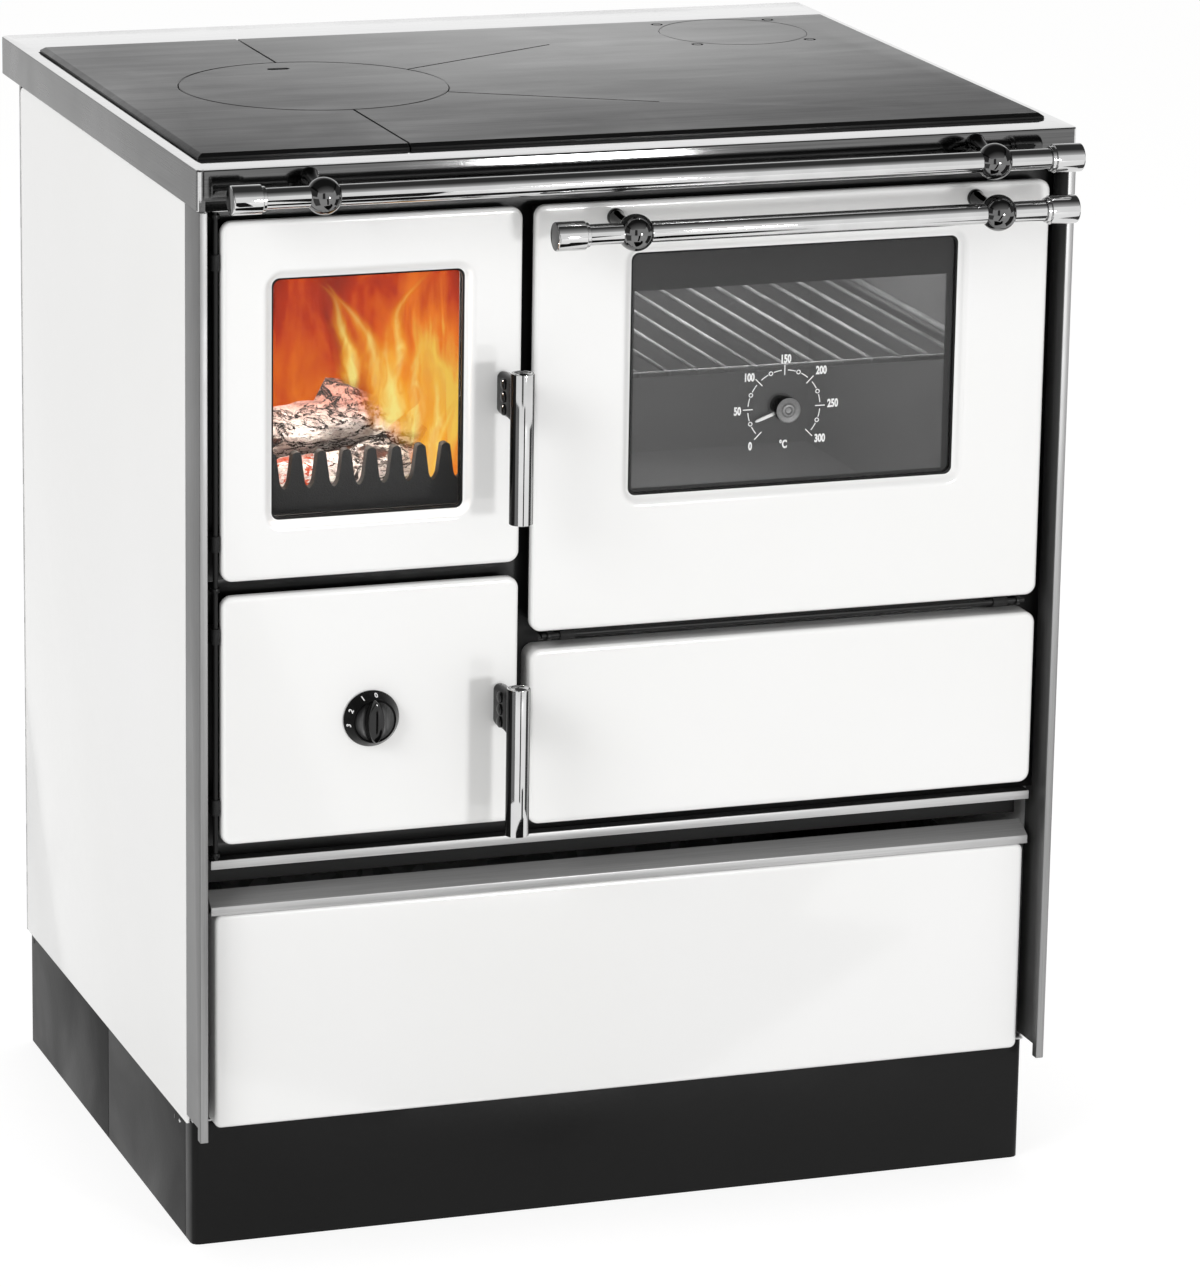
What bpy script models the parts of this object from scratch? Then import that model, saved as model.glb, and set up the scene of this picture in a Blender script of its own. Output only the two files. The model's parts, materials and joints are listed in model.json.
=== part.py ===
"""A freestanding coal cookstove: firebox and ash pan on the left, oven on the right, fuel drawer below.

Lengths are in metres, +Z is up and the front faces -Y. The origin is on the floor under the middle of the
whole outline. A "depth" is measured backwards from the front faces of the two corner posts. Pairs such as
(left, right), (near, far) and (low, high) give where a shape starts and ends.
"""

import math

import bmesh
import bpy
from mathutils import Vector

# Whole cooker
WIDTH = 0.700  # hob frame, left to right
DEPTH = 0.600  # hob frame, front to back
HEIGHT = 0.850  # floor to the top of the hob frame
GAP = 0.0003  # between pieces that touch
CUT = 0.002  # how far a cutter reaches past a face

# Body sheets and corner posts
BODY_DEPTH = 0.543  # post fronts to the back of the back panel
SIDE_INSET = 0.001
SIDE_SHEET = 0.003
SIDE_CORNER = 0.008
BACK_SHEET = 0.003
PLINTH_LAP = 0.0015  # sides and back reach down over the plinth
POST_WIDTH = 0.0065
POST_DEPTH = 0.040
POST_TONGUE = 0.008  # front part of the post, which reaches lowest
POST_BOTTOM = 0.096
POST_STEP = 0.010

# Plinth and base pan
PLINTH_HEIGHT = 0.100
PLINTH_SHEET = 0.002
PLINTH_CORNER = 0.006
PLINTH_WING = 0.020
PLINTH_SIDE_LENGTH = 0.2317
PAN_SHEET = 0.002
RUNNER_LEDGE = 0.0094  # height of the drawer's runner over the pan
RUNNER_LEDGE_WIDTH = 0.0185
RUNNER_GUIDE = 0.0233  # height of the guide over the runner
RUNNER_GUIDE_WIDTH = 0.007
RUNNER_CLEARANCE = 0.0035

# Hob frame
FRAME_HEIGHT = 0.031
FRAME_SKIRT = 0.0025
FRAME_TOP = 0.0085
FRAME_CORNER = 0.006
RIM_SIDE = 0.0105
RIM_FRONT = 0.039
RIM_REAR = 0.0845
RIM_LEDGE = 0.008

# Hob plates, cooking lid and flue cover
PLATE_THICKNESS = 0.010
PLATE_PROUD = 0.0045
PLATE_CLEARANCE = 0.001
PLATE_SPLIT = 0.0008
LID_X = -0.1745
LID_DEPTH = 0.292
LID_RADIUS = 0.1055
LID_THICKNESS = 0.005
LID_LEDGE = 0.008
LID_CLEARANCE = 0.0005
LID_LIFT = (-0.006, 0.078)  # lifting notch, from the lid's middle
LID_LIFT_SIZE = (0.018, 0.007)
LID_LIFT_DEPTH = 0.003
SLOT_WIDTH = 0.0015
SLOT_START = 0.095  # from the lid's middle
SLOT_REACH = 0.274
SLOT_ANGLE = math.radians(29)
FLUE_INSET = 0.1174  # from the right edge of the hob frame
FLUE_COVER_DEPTH = 0.446
FLUE_COVER_RADIUS = 0.061
FLUE_COVER_THICKNESS = 0.005
FLUE_COVER_LEDGE = 0.0075

# Rear flue collar
FLUE_DROP = 0.150  # axis under the top of the hob frame
FLUE_RADIUS = 0.060
FLUE_WALL = 0.002
FLUE_INSIDE = 0.070  # how far it reaches into the body
FLUE_OUTSIDE = 0.042
FLUE_FLANGE = 0.015

# Front plate and the rails under it
FRONT_PLATE_DEPTH = 0.028
FRONT_PLATE_SHEET = 0.003
SILL_TOP = 0.3155
SILL_SETBACK = 0.017
SILL_SHEET = 0.0015
SILL_LIP = 0.007
SILL_DEPTH = 0.0295
SILL_DROP = 0.026
RAIL_SIDE_GAP = 0.0068

# Doors, as seen from the front
POST_DOOR_GAP = 0.0118
TOP_GAP = 0.0095
COLUMN_GAP = 0.010
FIRE_DOOR_WIDTH = 0.2341
ASH_SILL = 0.0152
ASH_DOOR_HEIGHT = 0.1936
ASH_FIRE_GAP = 0.0114
LOWER_SILL = 0.0108
LOWER_PANEL_HEIGHT = 0.1391
LOWER_OVEN_GAP = 0.0138
LOWER_PANEL_WALL = 0.004
DOOR_SETBACK = 0.005
DOOR_PANEL = 0.007
DOOR_CORNER = 0.009
DOOR_EDGE = 0.003
LINER_PLATE = 0.006
LINER_FLANGE = 0.006
LINER_INSET = 0.004
LINER_HINGE_INSET = 0.010
LATCH_LAP = 0.008
FIRE_LAP = 0.018
OVEN_LAP = 0.0215

# Windows: margins from the door's edges, left, right, bottom, top
FIRE_MARGINS = (0.0412, 0.0457, 0.0463, 0.0462)
OVEN_MARGINS = (0.0791, 0.0752, 0.1028, 0.0419)
FIRE_SHADE = (0.0, 0.0, 0.0, 0.0)  # how far the liner shows inside the window
OVEN_SHADE = (0.004, 0.004, 0.002, 0.030)
WINDOW_CORNER = 0.006
GLASS_THICKNESS = 0.004
GLASS_LAP = 0.008
GLASS_CLEARANCE = 0.0005

# Hinges
HINGE_OFFSET = 0.004  # pin's axis outside the door's edge
HINGE_DEPTH = 0.008
PIN_RADIUS = 0.002
PIN_END = 0.0025
KNUCKLE_RADIUS = 0.0035
KNUCKLE_LENGTH = 0.012
KNUCKLE_INSET = 0.030
LUG_THICKNESS = 0.003
LUG_INSET = 0.015
LUG_ABOVE = 0.0045  # middle of the upper lug over the fire door
LUG_BELOW = 0.0075  # middle of the lower lug under the ash door
ARM_THICKNESS = 0.004
ARM_LAP = 0.003

# Door levers
LEVER_INSET = 0.0144
FIRE_LEVER_HEIGHT = 0.1333
ASH_LEVER_HEIGHT = 0.0948
GRIP_RADIUS = 0.009
GRIP_LENGTH = 0.116
GRIP_ABOVE = 0.0245
GRIP_REACH = 0.045
GRIP_EDGE = 0.001
BRACKET_WIDTH = 0.011
BRACKET_HEIGHT = 0.033
BRACKET_CORNER = 0.003
SPINDLE_RADIUS = 0.0037
TONGUE_WIDTH = 0.007
TONGUE_LENGTH = 0.016
TONGUE_THICKNESS = 0.005

# Air control on the ash door
KNOB_HEIGHT = 0.0916  # over the door's bottom edge
KNOB_RADIUS = 0.022
KNOB_RIM = 0.0075
KNOB_RIM_WIDTH = 0.003
KNOB_DISH = 0.003
KNOB_REACH = 0.016
KNOB_BAR_WIDTH = 0.008
KNOB_BAR_LENGTH = 0.037
SHAFT_RADIUS = 0.003
SHAFT_SOCKET = 0.007
CRANK_RADIUS = 0.01175
CRANK_START = math.radians(40)
CRANK_THICKNESS = 0.002
CRANK_PIN_RADIUS = 0.0015
CRANK_PLAY = 0.0007
SHUTTER_TRAVEL = 0.018
SHUTTER_SHEET = 0.002
SHUTTER_PLAY = 0.0004
SHUTTER_LAP = 0.004
SHUTTER_ARM_HALF = 0.018
AIR_SLOTS = 4
AIR_SLOT_SIZE = (0.014, 0.014)
AIR_SLOT_PITCH = 0.019
AIR_SLOT_DROP = 0.0273  # middle of the slots under the knob's axis
AIR_CHANNEL = 0.003
GUIDE_WIDTH = 0.004
GUIDE_DEPTH = 0.0035

# Oven thermometer, from the window's left and bottom edges
THERMO_LEFT = 0.1255
THERMO_UP = 0.059
THERMO_HEAD = (0.010, 0.006)
THERMO_STEM = 0.003
THERMO_COLLAR = (0.006, 0.0017)
THERMO_NUT = (0.008, 0.005)
POINTER_HUB = (0.0055, 0.0022)
POINTER_ROOT = 0.0044  # where the needle starts, inside the hub
POINTER_REACH = 0.026
POINTER_WIDTH = 0.0025
POINTER_REST = math.radians(200)
POINTER_PLAY = 0.0004

# Towel rail and oven handle
ROD_RADIUS = 0.008
CAP_RADIUS = 0.011
CAP_LENGTH = 0.026
CAP_COLLAR = (0.0095, 0.003)
CAP_EDGE = 0.0012
CAP_SOCKET = 0.010
BALL_RADIUS = 0.014
BALL_HALF = 0.0115
NECK_RADIUS = 0.0052
BOSS_RADIUS = 0.0068
TOWEL_INSET = 0.014  # its ends from the edges of the hob frame
TOWEL_REACH = 0.037
TOWEL_RISE = 0.0155  # over the frame's bottom edge
TOWEL_BRACKET_INSET = 0.085
TOWEL_BOSS_RISE = 0.0083
HANDLE_HALF = 0.2097
HANDLE_REACH = 0.046
HANDLE_DROP = 0.014
HANDLE_BRACKET = 0.146
HANDLE_BOSS_RISE = 0.003

# Fuel drawer
DRAWER_SETBACK = 0.017
DRAWER_FRONT = 0.018
DRAWER_FRONT_HEIGHT = 0.1712
DRAWER_SIDE_GAP = 0.010
DRAWER_BOX_WIDTH = 0.600
DRAWER_BOX_DEPTH = 0.445
DRAWER_BOX_HEIGHT = 0.150
DRAWER_SHEET = 0.002
GRIP_RAIL_SETBACK = 0.0165
GRIP_RAIL_SHEET = 0.002
GRIP_RAIL_LIP = 0.0067
GRIP_RAIL_DEPTH = 0.017
GRIP_RAIL_RISE = 0.0092

# Firebox
CASING_WALL = 0.003
CASING_MARGIN = 0.012
CASING_DEPTH = 0.402
SHELF_DROP = 0.0362  # under the fire opening's lower edge
SHELF_LEDGE = 0.042
BRICK = 0.030
BRICK_DROP = 0.0697  # their tops under the hob plates
GRATE_THICKNESS = 0.012
GRATE_MARGIN = 0.0005
GRATE_SLOTS = 9
GRATE_SLOT_WIDTH = 0.008
GRATE_RIM = 0.014
RETAINER_SETBACK = 0.014  # behind the front plate
RETAINER_THICKNESS = 0.008
RETAINER_VALLEY = 0.0765
RETAINER_TIP = 0.1045
RETAINER_FINGERS = 9
RETAINER_PITCH = 0.0196
RETAINER_FOOT = 0.0165
RETAINER_POINT = 0.0082
RETAINER_OFFSET = 0.0143  # its middle finger, right of the window's middle
PASSAGE_LENGTH = 0.300
PASSAGE_HEIGHT = 0.035
PASSAGE_DROP = 0.012
ASH_PAN_WIDTH = 0.183
ASH_PAN_DEPTH = 0.360
ASH_PAN_HEIGHT = 0.056
ASH_PAN_WALL = 0.0015
ASH_PAN_SETBACK = 0.009
ASH_PAN_TAB = (0.050, 0.006, 0.010)

# Oven
OVEN_WALL = 0.0025
OVEN_DEPTH = 0.422
RACK_HEIGHT = 0.160  # over the oven's floor
RACK_BAR = 0.005
RACK_SETBACK = 0.020
RACK_WIRES = 14
RACK_WIRE_RADIUS = 0.0016
RACK_CLEARANCE = 0.0015
RACK_LEDGE_WIDTH = 0.008
RACK_LEDGE_HEIGHT = 0.003

# Sides of round shapes
ROD_SIDES = 20
SMALL_SIDES = 12
WIRE_SIDES = 6
LID_SIDES = 48
FLUE_SIDES = 32
CORNER_STEPS = 3
EDGE_STEPS = 2
BALL_SIDES = 16
BALL_RINGS = 10
KNUCKLE_STEPS = 8
DOME_STEPS = 5
CAPSULE_STEPS = 6

# The middle of the whole outline, with the handles' reach in front, is at Y = 0
FRONT_REACH = BALL_RADIUS + max(TOWEL_REACH, HANDLE_REACH - DOOR_SETBACK)
FRONT = (FRONT_REACH - DEPTH) / 2

# Places that several pieces share
SIDE_X = WIDTH / 2 - SIDE_INSET
POST_INNER = SIDE_X - POST_WIDTH
FRAME_BOTTOM = HEIGHT - FRAME_HEIGHT
UNDER_FRAME = HEIGHT - FRAME_TOP - GAP
PLATE_TOP = HEIGHT + PLATE_PROUD
PLATE_BOTTOM = PLATE_TOP - PLATE_THICKNESS
PLATE_FRONT = RIM_FRONT + PLATE_CLEARANCE
PLATE_BACK = DEPTH - RIM_REAR - PLATE_CLEARANCE
PLATE_HALF = WIDTH / 2 - RIM_SIDE - PLATE_CLEARANCE
PAN_BOTTOM = PLINTH_HEIGHT + GAP
PAN_TOP = PAN_BOTTOM + PAN_SHEET
PAN_HALF = SIDE_X - SIDE_SHEET - GAP
FLUE_X = WIDTH / 2 - FLUE_INSET
FLUE_HEIGHT = HEIGHT - FLUE_DROP
DRAWER_BACK = DRAWER_SETBACK + DRAWER_FRONT
INNER_BACK = BODY_DEPTH - BACK_SHEET - GAP
DRAWER_TOP = PLINTH_HEIGHT + GAP + DRAWER_FRONT_HEIGHT
RAIL_HALF = POST_INNER - RAIL_SIDE_GAP
BEHIND_FRONT_PLATE = FRONT_PLATE_DEPTH + FRONT_PLATE_SHEET + GAP

DOORS_HALF = POST_INNER - POST_DOOR_GAP
DOORS_TOP = FRAME_BOTTOM - TOP_GAP
ASH_BOTTOM = SILL_TOP + ASH_SILL
FIRE_BOTTOM = ASH_BOTTOM + ASH_DOOR_HEIGHT + ASH_FIRE_GAP
LOWER_BOTTOM = SILL_TOP + LOWER_SILL
OVEN_BOTTOM = LOWER_BOTTOM + LOWER_PANEL_HEIGHT + LOWER_OVEN_GAP
FIRE_X = (-DOORS_HALF, -DOORS_HALF + FIRE_DOOR_WIDTH)
FIRE_Z = (FIRE_BOTTOM, DOORS_TOP)
ASH_Z = (ASH_BOTTOM, ASH_BOTTOM + ASH_DOOR_HEIGHT)
OVEN_X = (FIRE_X[1] + COLUMN_GAP, DOORS_HALF)
OVEN_Z = (OVEN_BOTTOM, DOORS_TOP)
LOWER_Z = (LOWER_BOTTOM, LOWER_BOTTOM + LOWER_PANEL_HEIGHT)
PANEL_BACK = DOOR_SETBACK + DOOR_PANEL
LINER_FRONT = PANEL_BACK + GAP
LINER_BACK = FRONT_PLATE_DEPTH - GAP
LINER_PLATE_BACK = LINER_FRONT + LINER_PLATE
DOOR_FRONT = DOOR_SETBACK - GAP  # back of what sits on a door's face

FIRE_OPENING_X = (FIRE_X[0] + FIRE_LAP, FIRE_X[1] - LATCH_LAP)
FIRE_OPENING_Z = (FIRE_Z[0] + FIRE_LAP, FIRE_Z[1] - FIRE_LAP)
ASH_OPENING_Z = (ASH_Z[0] + FIRE_LAP, ASH_Z[1] - FIRE_LAP)
OVEN_OPENING_X = (OVEN_X[0] + OVEN_LAP, OVEN_X[1] - OVEN_LAP)
OVEN_OPENING_Z = (OVEN_Z[0] + OVEN_LAP, OVEN_Z[1] - OVEN_LAP)

DOOR_PIN_X = FIRE_X[0] - HINGE_OFFSET
OVEN_PIN_Z = OVEN_Z[0] - HINGE_OFFSET
LEVER_X = FIRE_X[1] - LEVER_INSET
FIRE_LEVER_Z = FIRE_Z[0] + FIRE_LEVER_HEIGHT
ASH_LEVER_Z = ASH_Z[0] + ASH_LEVER_HEIGHT
KNOB_X = (FIRE_X[0] + FIRE_X[1]) / 2
KNOB_Z = ASH_Z[0] + KNOB_HEIGHT
THERMO_X = OVEN_X[0] + OVEN_MARGINS[0] + THERMO_LEFT
THERMO_Z = OVEN_Z[0] + OVEN_MARGINS[2] + THERMO_UP
TOWEL_Z = FRAME_BOTTOM + TOWEL_RISE
TOWEL_HALF = WIDTH / 2 - TOWEL_INSET
TOWEL_BRACKET = WIDTH / 2 - TOWEL_BRACKET_INSET
HANDLE_X = (OVEN_X[0] + OVEN_X[1]) / 2
HANDLE_Z = OVEN_Z[1] - HANDLE_DROP
HANDLE_DEPTH = DOOR_SETBACK - HANDLE_REACH

CASING_X = (FIRE_OPENING_X[0] - CASING_MARGIN, FIRE_OPENING_X[1] + CASING_MARGIN)
CASING_INNER_X = (CASING_X[0] + CASING_WALL, CASING_X[1] - CASING_WALL)
CASING_BACK = BEHIND_FRONT_PLATE + CASING_DEPTH
SHELF_TOP = FIRE_OPENING_Z[0] - SHELF_DROP
RETAINER_NEAR = BEHIND_FRONT_PLATE + RETAINER_SETBACK
RETAINER_FAR = RETAINER_NEAR + RETAINER_THICKNESS
BRICK_BACK = CASING_BACK - CASING_WALL - GAP

# Along each axis: the direction itself, then the two directions that cross it
AXES = {
    "x": (Vector((1, 0, 0)), Vector((0, 1, 0)), Vector((0, 0, 1))),
    "d": (Vector((0, 1, 0)), Vector((1, 0, 0)), Vector((0, 0, 1))),
    "z": (Vector((0, 0, 1)), Vector((1, 0, 0)), Vector((0, 1, 0))),
}

# Colour, roughness, metallic
FINISHES = {
    "white_enamel": ((0.80, 0.80, 0.78), 0.12, 0.0),
    "charcoal_enamel": ((0.030, 0.030, 0.033), 0.45, 0.0),
    "black_enamel": ((0.010, 0.010, 0.011), 0.40, 0.0),
    "stainless": ((0.62, 0.62, 0.61), 0.22, 1.0),
    "satin_post": ((0.55, 0.55, 0.54), 0.40, 0.6),
    "rail_metal": ((0.42, 0.42, 0.42), 0.35, 0.8),
    "hob_steel": ((0.18, 0.18, 0.18), 0.38, 0.9),
    "chrome": ((0.80, 0.80, 0.80), 0.08, 1.0),
    "galvanised": ((0.45, 0.46, 0.47), 0.45, 0.8),
    "steel": ((0.50, 0.50, 0.50), 0.35, 1.0),
    "cast_iron": ((0.025, 0.024, 0.023), 0.75, 0.3),
    "oven_enamel": ((0.055, 0.058, 0.062), 0.25, 0.0),
    "firebrick": ((0.36, 0.28, 0.20), 0.90, 0.0),
    "glass": ((0.30, 0.31, 0.31), 0.05, 0.0),
    "smoked_glass": ((0.10, 0.10, 0.10), 0.05, 0.0),
    "black_plastic": ((0.012, 0.012, 0.012), 0.18, 0.0),
}


def clear_scene():
    for obj in list(bpy.data.objects):
        bpy.data.objects.remove(obj, do_unlink=True)


def material(name):
    """The finish of that name as a Principled material, made once."""
    made = bpy.data.materials.get(name)
    if made:
        return made
    made = bpy.data.materials.new(name)
    made.use_nodes = True
    colour, roughness, metallic = FINISHES[name]
    shader = made.node_tree.nodes["Principled BSDF"]
    shader.inputs["Base Color"].default_value = (*colour, 1.0)
    shader.inputs["Roughness"].default_value = roughness
    shader.inputs["Metallic"].default_value = metallic
    return made


def spot(axis, along, a, b):
    """World point at a place along an axis; a and b follow the two crossing directions."""
    direction, first, second = AXES[axis]
    return direction * along + first * a + second * b + Vector((0, FRONT, 0))


def block(x, d, z):
    """Box between two X, two depths and two heights."""
    low = spot("x", x[0], d[0], z[0])
    high = spot("x", x[1], d[1], z[1])
    bm = bmesh.new()
    bmesh.ops.create_cube(bm, size=1)
    bmesh.ops.scale(bm, vec=high - low, verts=bm.verts)
    bmesh.ops.translate(bm, vec=(low + high) / 2, verts=bm.verts)
    return bm


def prism(outline, axis, start, end):
    """Outline across an axis, extruded along it."""
    bm = bmesh.new()
    face = bm.faces.new([bm.verts.new(spot(axis, start, a, b)) for a, b in outline])
    made = bmesh.ops.extrude_face_region(bm, geom=[face])
    moved = [item for item in made["geom"] if isinstance(item, bmesh.types.BMVert)]
    bmesh.ops.translate(bm, vec=AXES[axis][0] * (end - start), verts=moved)
    return bm


def arc(centre, radius, start, end, steps):
    """Points on a circle, both ends included."""
    angles = [start + (end - start) * i / steps for i in range(steps + 1)]
    return [(centre[0] + radius * math.cos(t), centre[1] + radius * math.sin(t)) for t in angles]


def rounded(a, b, radius, steps=CORNER_STEPS):
    """Rectangle between two a and two b with round corners."""
    corners = [(a[1], b[1]), (a[0], b[1]), (a[0], b[0]), (a[1], b[0])]
    inward = [(-1, -1), (1, -1), (1, 1), (-1, 1)]
    points = []
    for turn, (corner, step) in enumerate(zip(corners, inward)):
        centre = (corner[0] + step[0] * radius, corner[1] + step[1] * radius)
        quarter = math.pi / 2
        points += arc(centre, radius, turn * quarter, (turn + 1) * quarter, steps)
    return points


def capsule(start, end, radius, steps=CAPSULE_STEPS):
    """Outline of a bar with round ends."""
    heading = math.atan2(end[1] - start[1], end[0] - start[0])
    quarter = math.pi / 2
    first = arc(end, radius, heading - quarter, heading + quarter, steps)
    return first + arc(start, radius, heading + quarter, heading + 3 * quarter, steps)


def rod(axis, centre, start, end, radius, sides=ROD_SIDES):
    outline = arc(centre, radius, 0, 2 * math.pi, sides)[:-1]
    return prism(outline, axis, start, end)


def turned(profile, axis, centre, sides=ROD_SIDES, ring=False):
    """Profile of (along, radius) points turned round an axis; a ring's profile closes on itself."""
    bm = bmesh.new()
    verts = [bm.verts.new(spot(axis, along, centre[0], centre[1] + radius)) for along, radius in profile]
    pairs = list(zip(verts, verts[1:]))
    if ring:
        pairs.append((verts[-1], verts[0]))
    edges = [bm.edges.new(pair) for pair in pairs]
    bmesh.ops.spin(
        bm,
        geom=verts + edges,
        cent=spot(axis, 0, *centre),
        axis=AXES[axis][0],
        angle=2 * math.pi,
        steps=sides,
        use_merge=True,
    )
    bmesh.ops.remove_doubles(bm, verts=bm.verts, dist=1e-6)
    return bm


def ball(centre, half, radius):
    """Ellipsoid with its long axis along X."""
    bm = bmesh.new()
    bmesh.ops.create_uvsphere(bm, u_segments=BALL_SIDES, v_segments=BALL_RINGS, radius=1)
    turn = Vector((0, 0, 1)).rotation_difference(Vector((1, 0, 0))).to_matrix()
    bmesh.ops.rotate(bm, cent=(0, 0, 0), matrix=turn, verts=bm.verts)
    bmesh.ops.scale(bm, vec=(half, radius, radius), verts=bm.verts)
    bmesh.ops.translate(bm, vec=centre, verts=bm.verts)
    return bm


def strut(start, end, radius, sides=SMALL_SIDES):
    """Round bar between two world points."""
    along = end - start
    bm = bmesh.new()
    bmesh.ops.create_cone(
        bm, cap_ends=True, segments=sides, radius1=radius, radius2=radius, depth=along.length
    )
    turn = along.to_track_quat("Z", "Y").to_matrix()
    bmesh.ops.rotate(bm, cent=(0, 0, 0), matrix=turn, verts=bm.verts)
    bmesh.ops.translate(bm, vec=(start + end) / 2, verts=bm.verts)
    return bm


def joined(shapes):
    """Several shapes as one cutter or one helper."""
    bm = shapes[0]
    for shape in shapes[1:]:
        mesh = bpy.data.meshes.new("joined")
        shape.to_mesh(mesh)
        shape.free()
        bm.from_mesh(mesh)
        bpy.data.meshes.remove(mesh)
    return bm


def ease_front(bm, near, radius):
    """Rounds the edges of the face at that depth."""
    plane = FRONT + near
    edges = [e for e in bm.edges if all(abs(v.co.y - plane) < 1e-6 for v in e.verts)]
    bmesh.ops.bevel(bm, geom=edges, offset=radius, segments=EDGE_STEPS, affect="EDGES")
    return bm


def world_place(obj):
    """World location of an empty; none of them is turned."""
    place = obj.location.copy()
    if obj.parent:
        place += world_place(obj.parent)
    return place


def pivot(name, place, carrier=None):
    """Empty on a moving body's joint axis."""
    empty = bpy.data.objects.new(name, None)
    empty.empty_display_size = 0.03
    empty.location = place
    if carrier:
        empty.parent = carrier
        empty.location = place - world_place(carrier)
    bpy.context.scene.collection.objects.link(empty)
    return empty


def mesh_object(name, bm):
    """Object with its origin in the middle of the shape's box."""
    lows = Vector([min(v.co[i] for v in bm.verts) for i in range(3)])
    highs = Vector([max(v.co[i] for v in bm.verts) for i in range(3)])
    centre = (lows + highs) / 2
    bmesh.ops.translate(bm, vec=-centre, verts=bm.verts)
    bmesh.ops.recalc_face_normals(bm, faces=bm.faces)
    mesh = bpy.data.meshes.new(name)
    bm.to_mesh(mesh)
    bm.free()
    obj = bpy.data.objects.new(name, mesh)
    obj.location = centre
    bpy.context.scene.collection.objects.link(obj)
    return obj


def piece(name, bm, finish, body=None, smooth=False):
    obj = mesh_object(name, bm)
    obj.data.materials.append(material(finish))
    if smooth:
        obj.data.shade_smooth()
        obj.data.set_sharp_from_angle(angle=math.radians(35))
    if body:
        obj.parent = body
        obj.location -= world_place(body)
    return obj


def combine(obj, operation, shapes):
    for shape in shapes:
        helper = mesh_object(f"{obj.name}_{operation.lower()}_{len(obj.modifiers)}", shape)
        helper.hide_render = True
        helper.display_type = "WIRE"
        step = obj.modifiers.new(helper.name, "BOOLEAN")
        step.operation = operation
        step.solver = "EXACT"
        step.object = helper


def cut(obj, *shapes):
    combine(obj, "DIFFERENCE", shapes)


def unite(obj, *shapes):
    combine(obj, "UNION", shapes)


def shrunk(span, low, high=None):
    """Span with its ends moved inwards."""
    return (span[0] + low, span[1] - (low if high is None else high))


def mirrored(span, side):
    """Span on the right (side 1) or its mirror on the left (side -1)."""
    return span if side > 0 else (-span[1], -span[0])


SIDES = {"left": -1, "right": 1}


def plinth():
    top = (0, PLINTH_HEIGHT)
    near = DRAWER_BACK + GAP
    outer = (-PAN_HALF, PAN_HALF)
    quarter = math.pi / 2
    corner = near + PLINTH_CORNER
    inner_corner = PLINTH_CORNER - PLINTH_SHEET
    reach = PAN_HALF - PLINTH_CORNER
    far = near + PLINTH_WING
    outline = [(-PAN_HALF, far)]
    outline += arc((-reach, corner), PLINTH_CORNER, 2 * quarter, 3 * quarter, CORNER_STEPS)
    outline += arc((reach, corner), PLINTH_CORNER, 3 * quarter, 4 * quarter, CORNER_STEPS)
    outline += [(PAN_HALF, far), (PAN_HALF - PLINTH_SHEET, far)]
    outline += arc((reach, corner), inner_corner, 4 * quarter, 3 * quarter, CORNER_STEPS)
    outline += arc((-reach, corner), inner_corner, 3 * quarter, 2 * quarter, CORNER_STEPS)
    outline += [(-PAN_HALF + PLINTH_SHEET, far)]
    piece("plinth_front", prism(outline, "z", *top), "charcoal_enamel")

    side_d = (far + GAP, far + GAP + PLINTH_SIDE_LENGTH)
    for side, sign in SIDES.items():
        x = mirrored((PAN_HALF - PLINTH_SHEET, PAN_HALF), sign)
        piece(f"plinth_side_{side}", block(x, side_d, top), "charcoal_enamel")

    rear_d = (side_d[1] + GAP, INNER_BACK)
    rear = piece("plinth_rear", block(outer, rear_d, top), "charcoal_enamel")
    inside_d = (rear_d[0] - CUT, rear_d[1] - PLINTH_SHEET)
    cut(rear, block(shrunk(outer, PLINTH_SHEET), inside_d, (-CUT, PLINTH_HEIGHT + CUT)))


def base_pan():
    """Pan on the plinth, with the drawer's two runners raised from it."""
    guide_x = DRAWER_BOX_WIDTH / 2 + RUNNER_CLEARANCE
    ledge_x = guide_x - RUNNER_LEDGE_WIDTH
    ledge_top = PAN_TOP + RUNNER_LEDGE
    guide_top = ledge_top + RUNNER_GUIDE
    half = [
        (PAN_HALF, PAN_BOTTOM),
        (PAN_HALF, PAN_TOP),
        (guide_x + RUNNER_GUIDE_WIDTH, PAN_TOP),
        (guide_x + RUNNER_GUIDE_WIDTH, guide_top),
        (guide_x, guide_top),
        (guide_x, ledge_top),
        (ledge_x, ledge_top),
        (ledge_x, PAN_TOP),
    ]
    outline = half + [(-x, z) for x, z in reversed(half)]
    piece("base_pan", prism(outline, "d", DRAWER_BACK + GAP, INNER_BACK), "galvanised")


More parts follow.
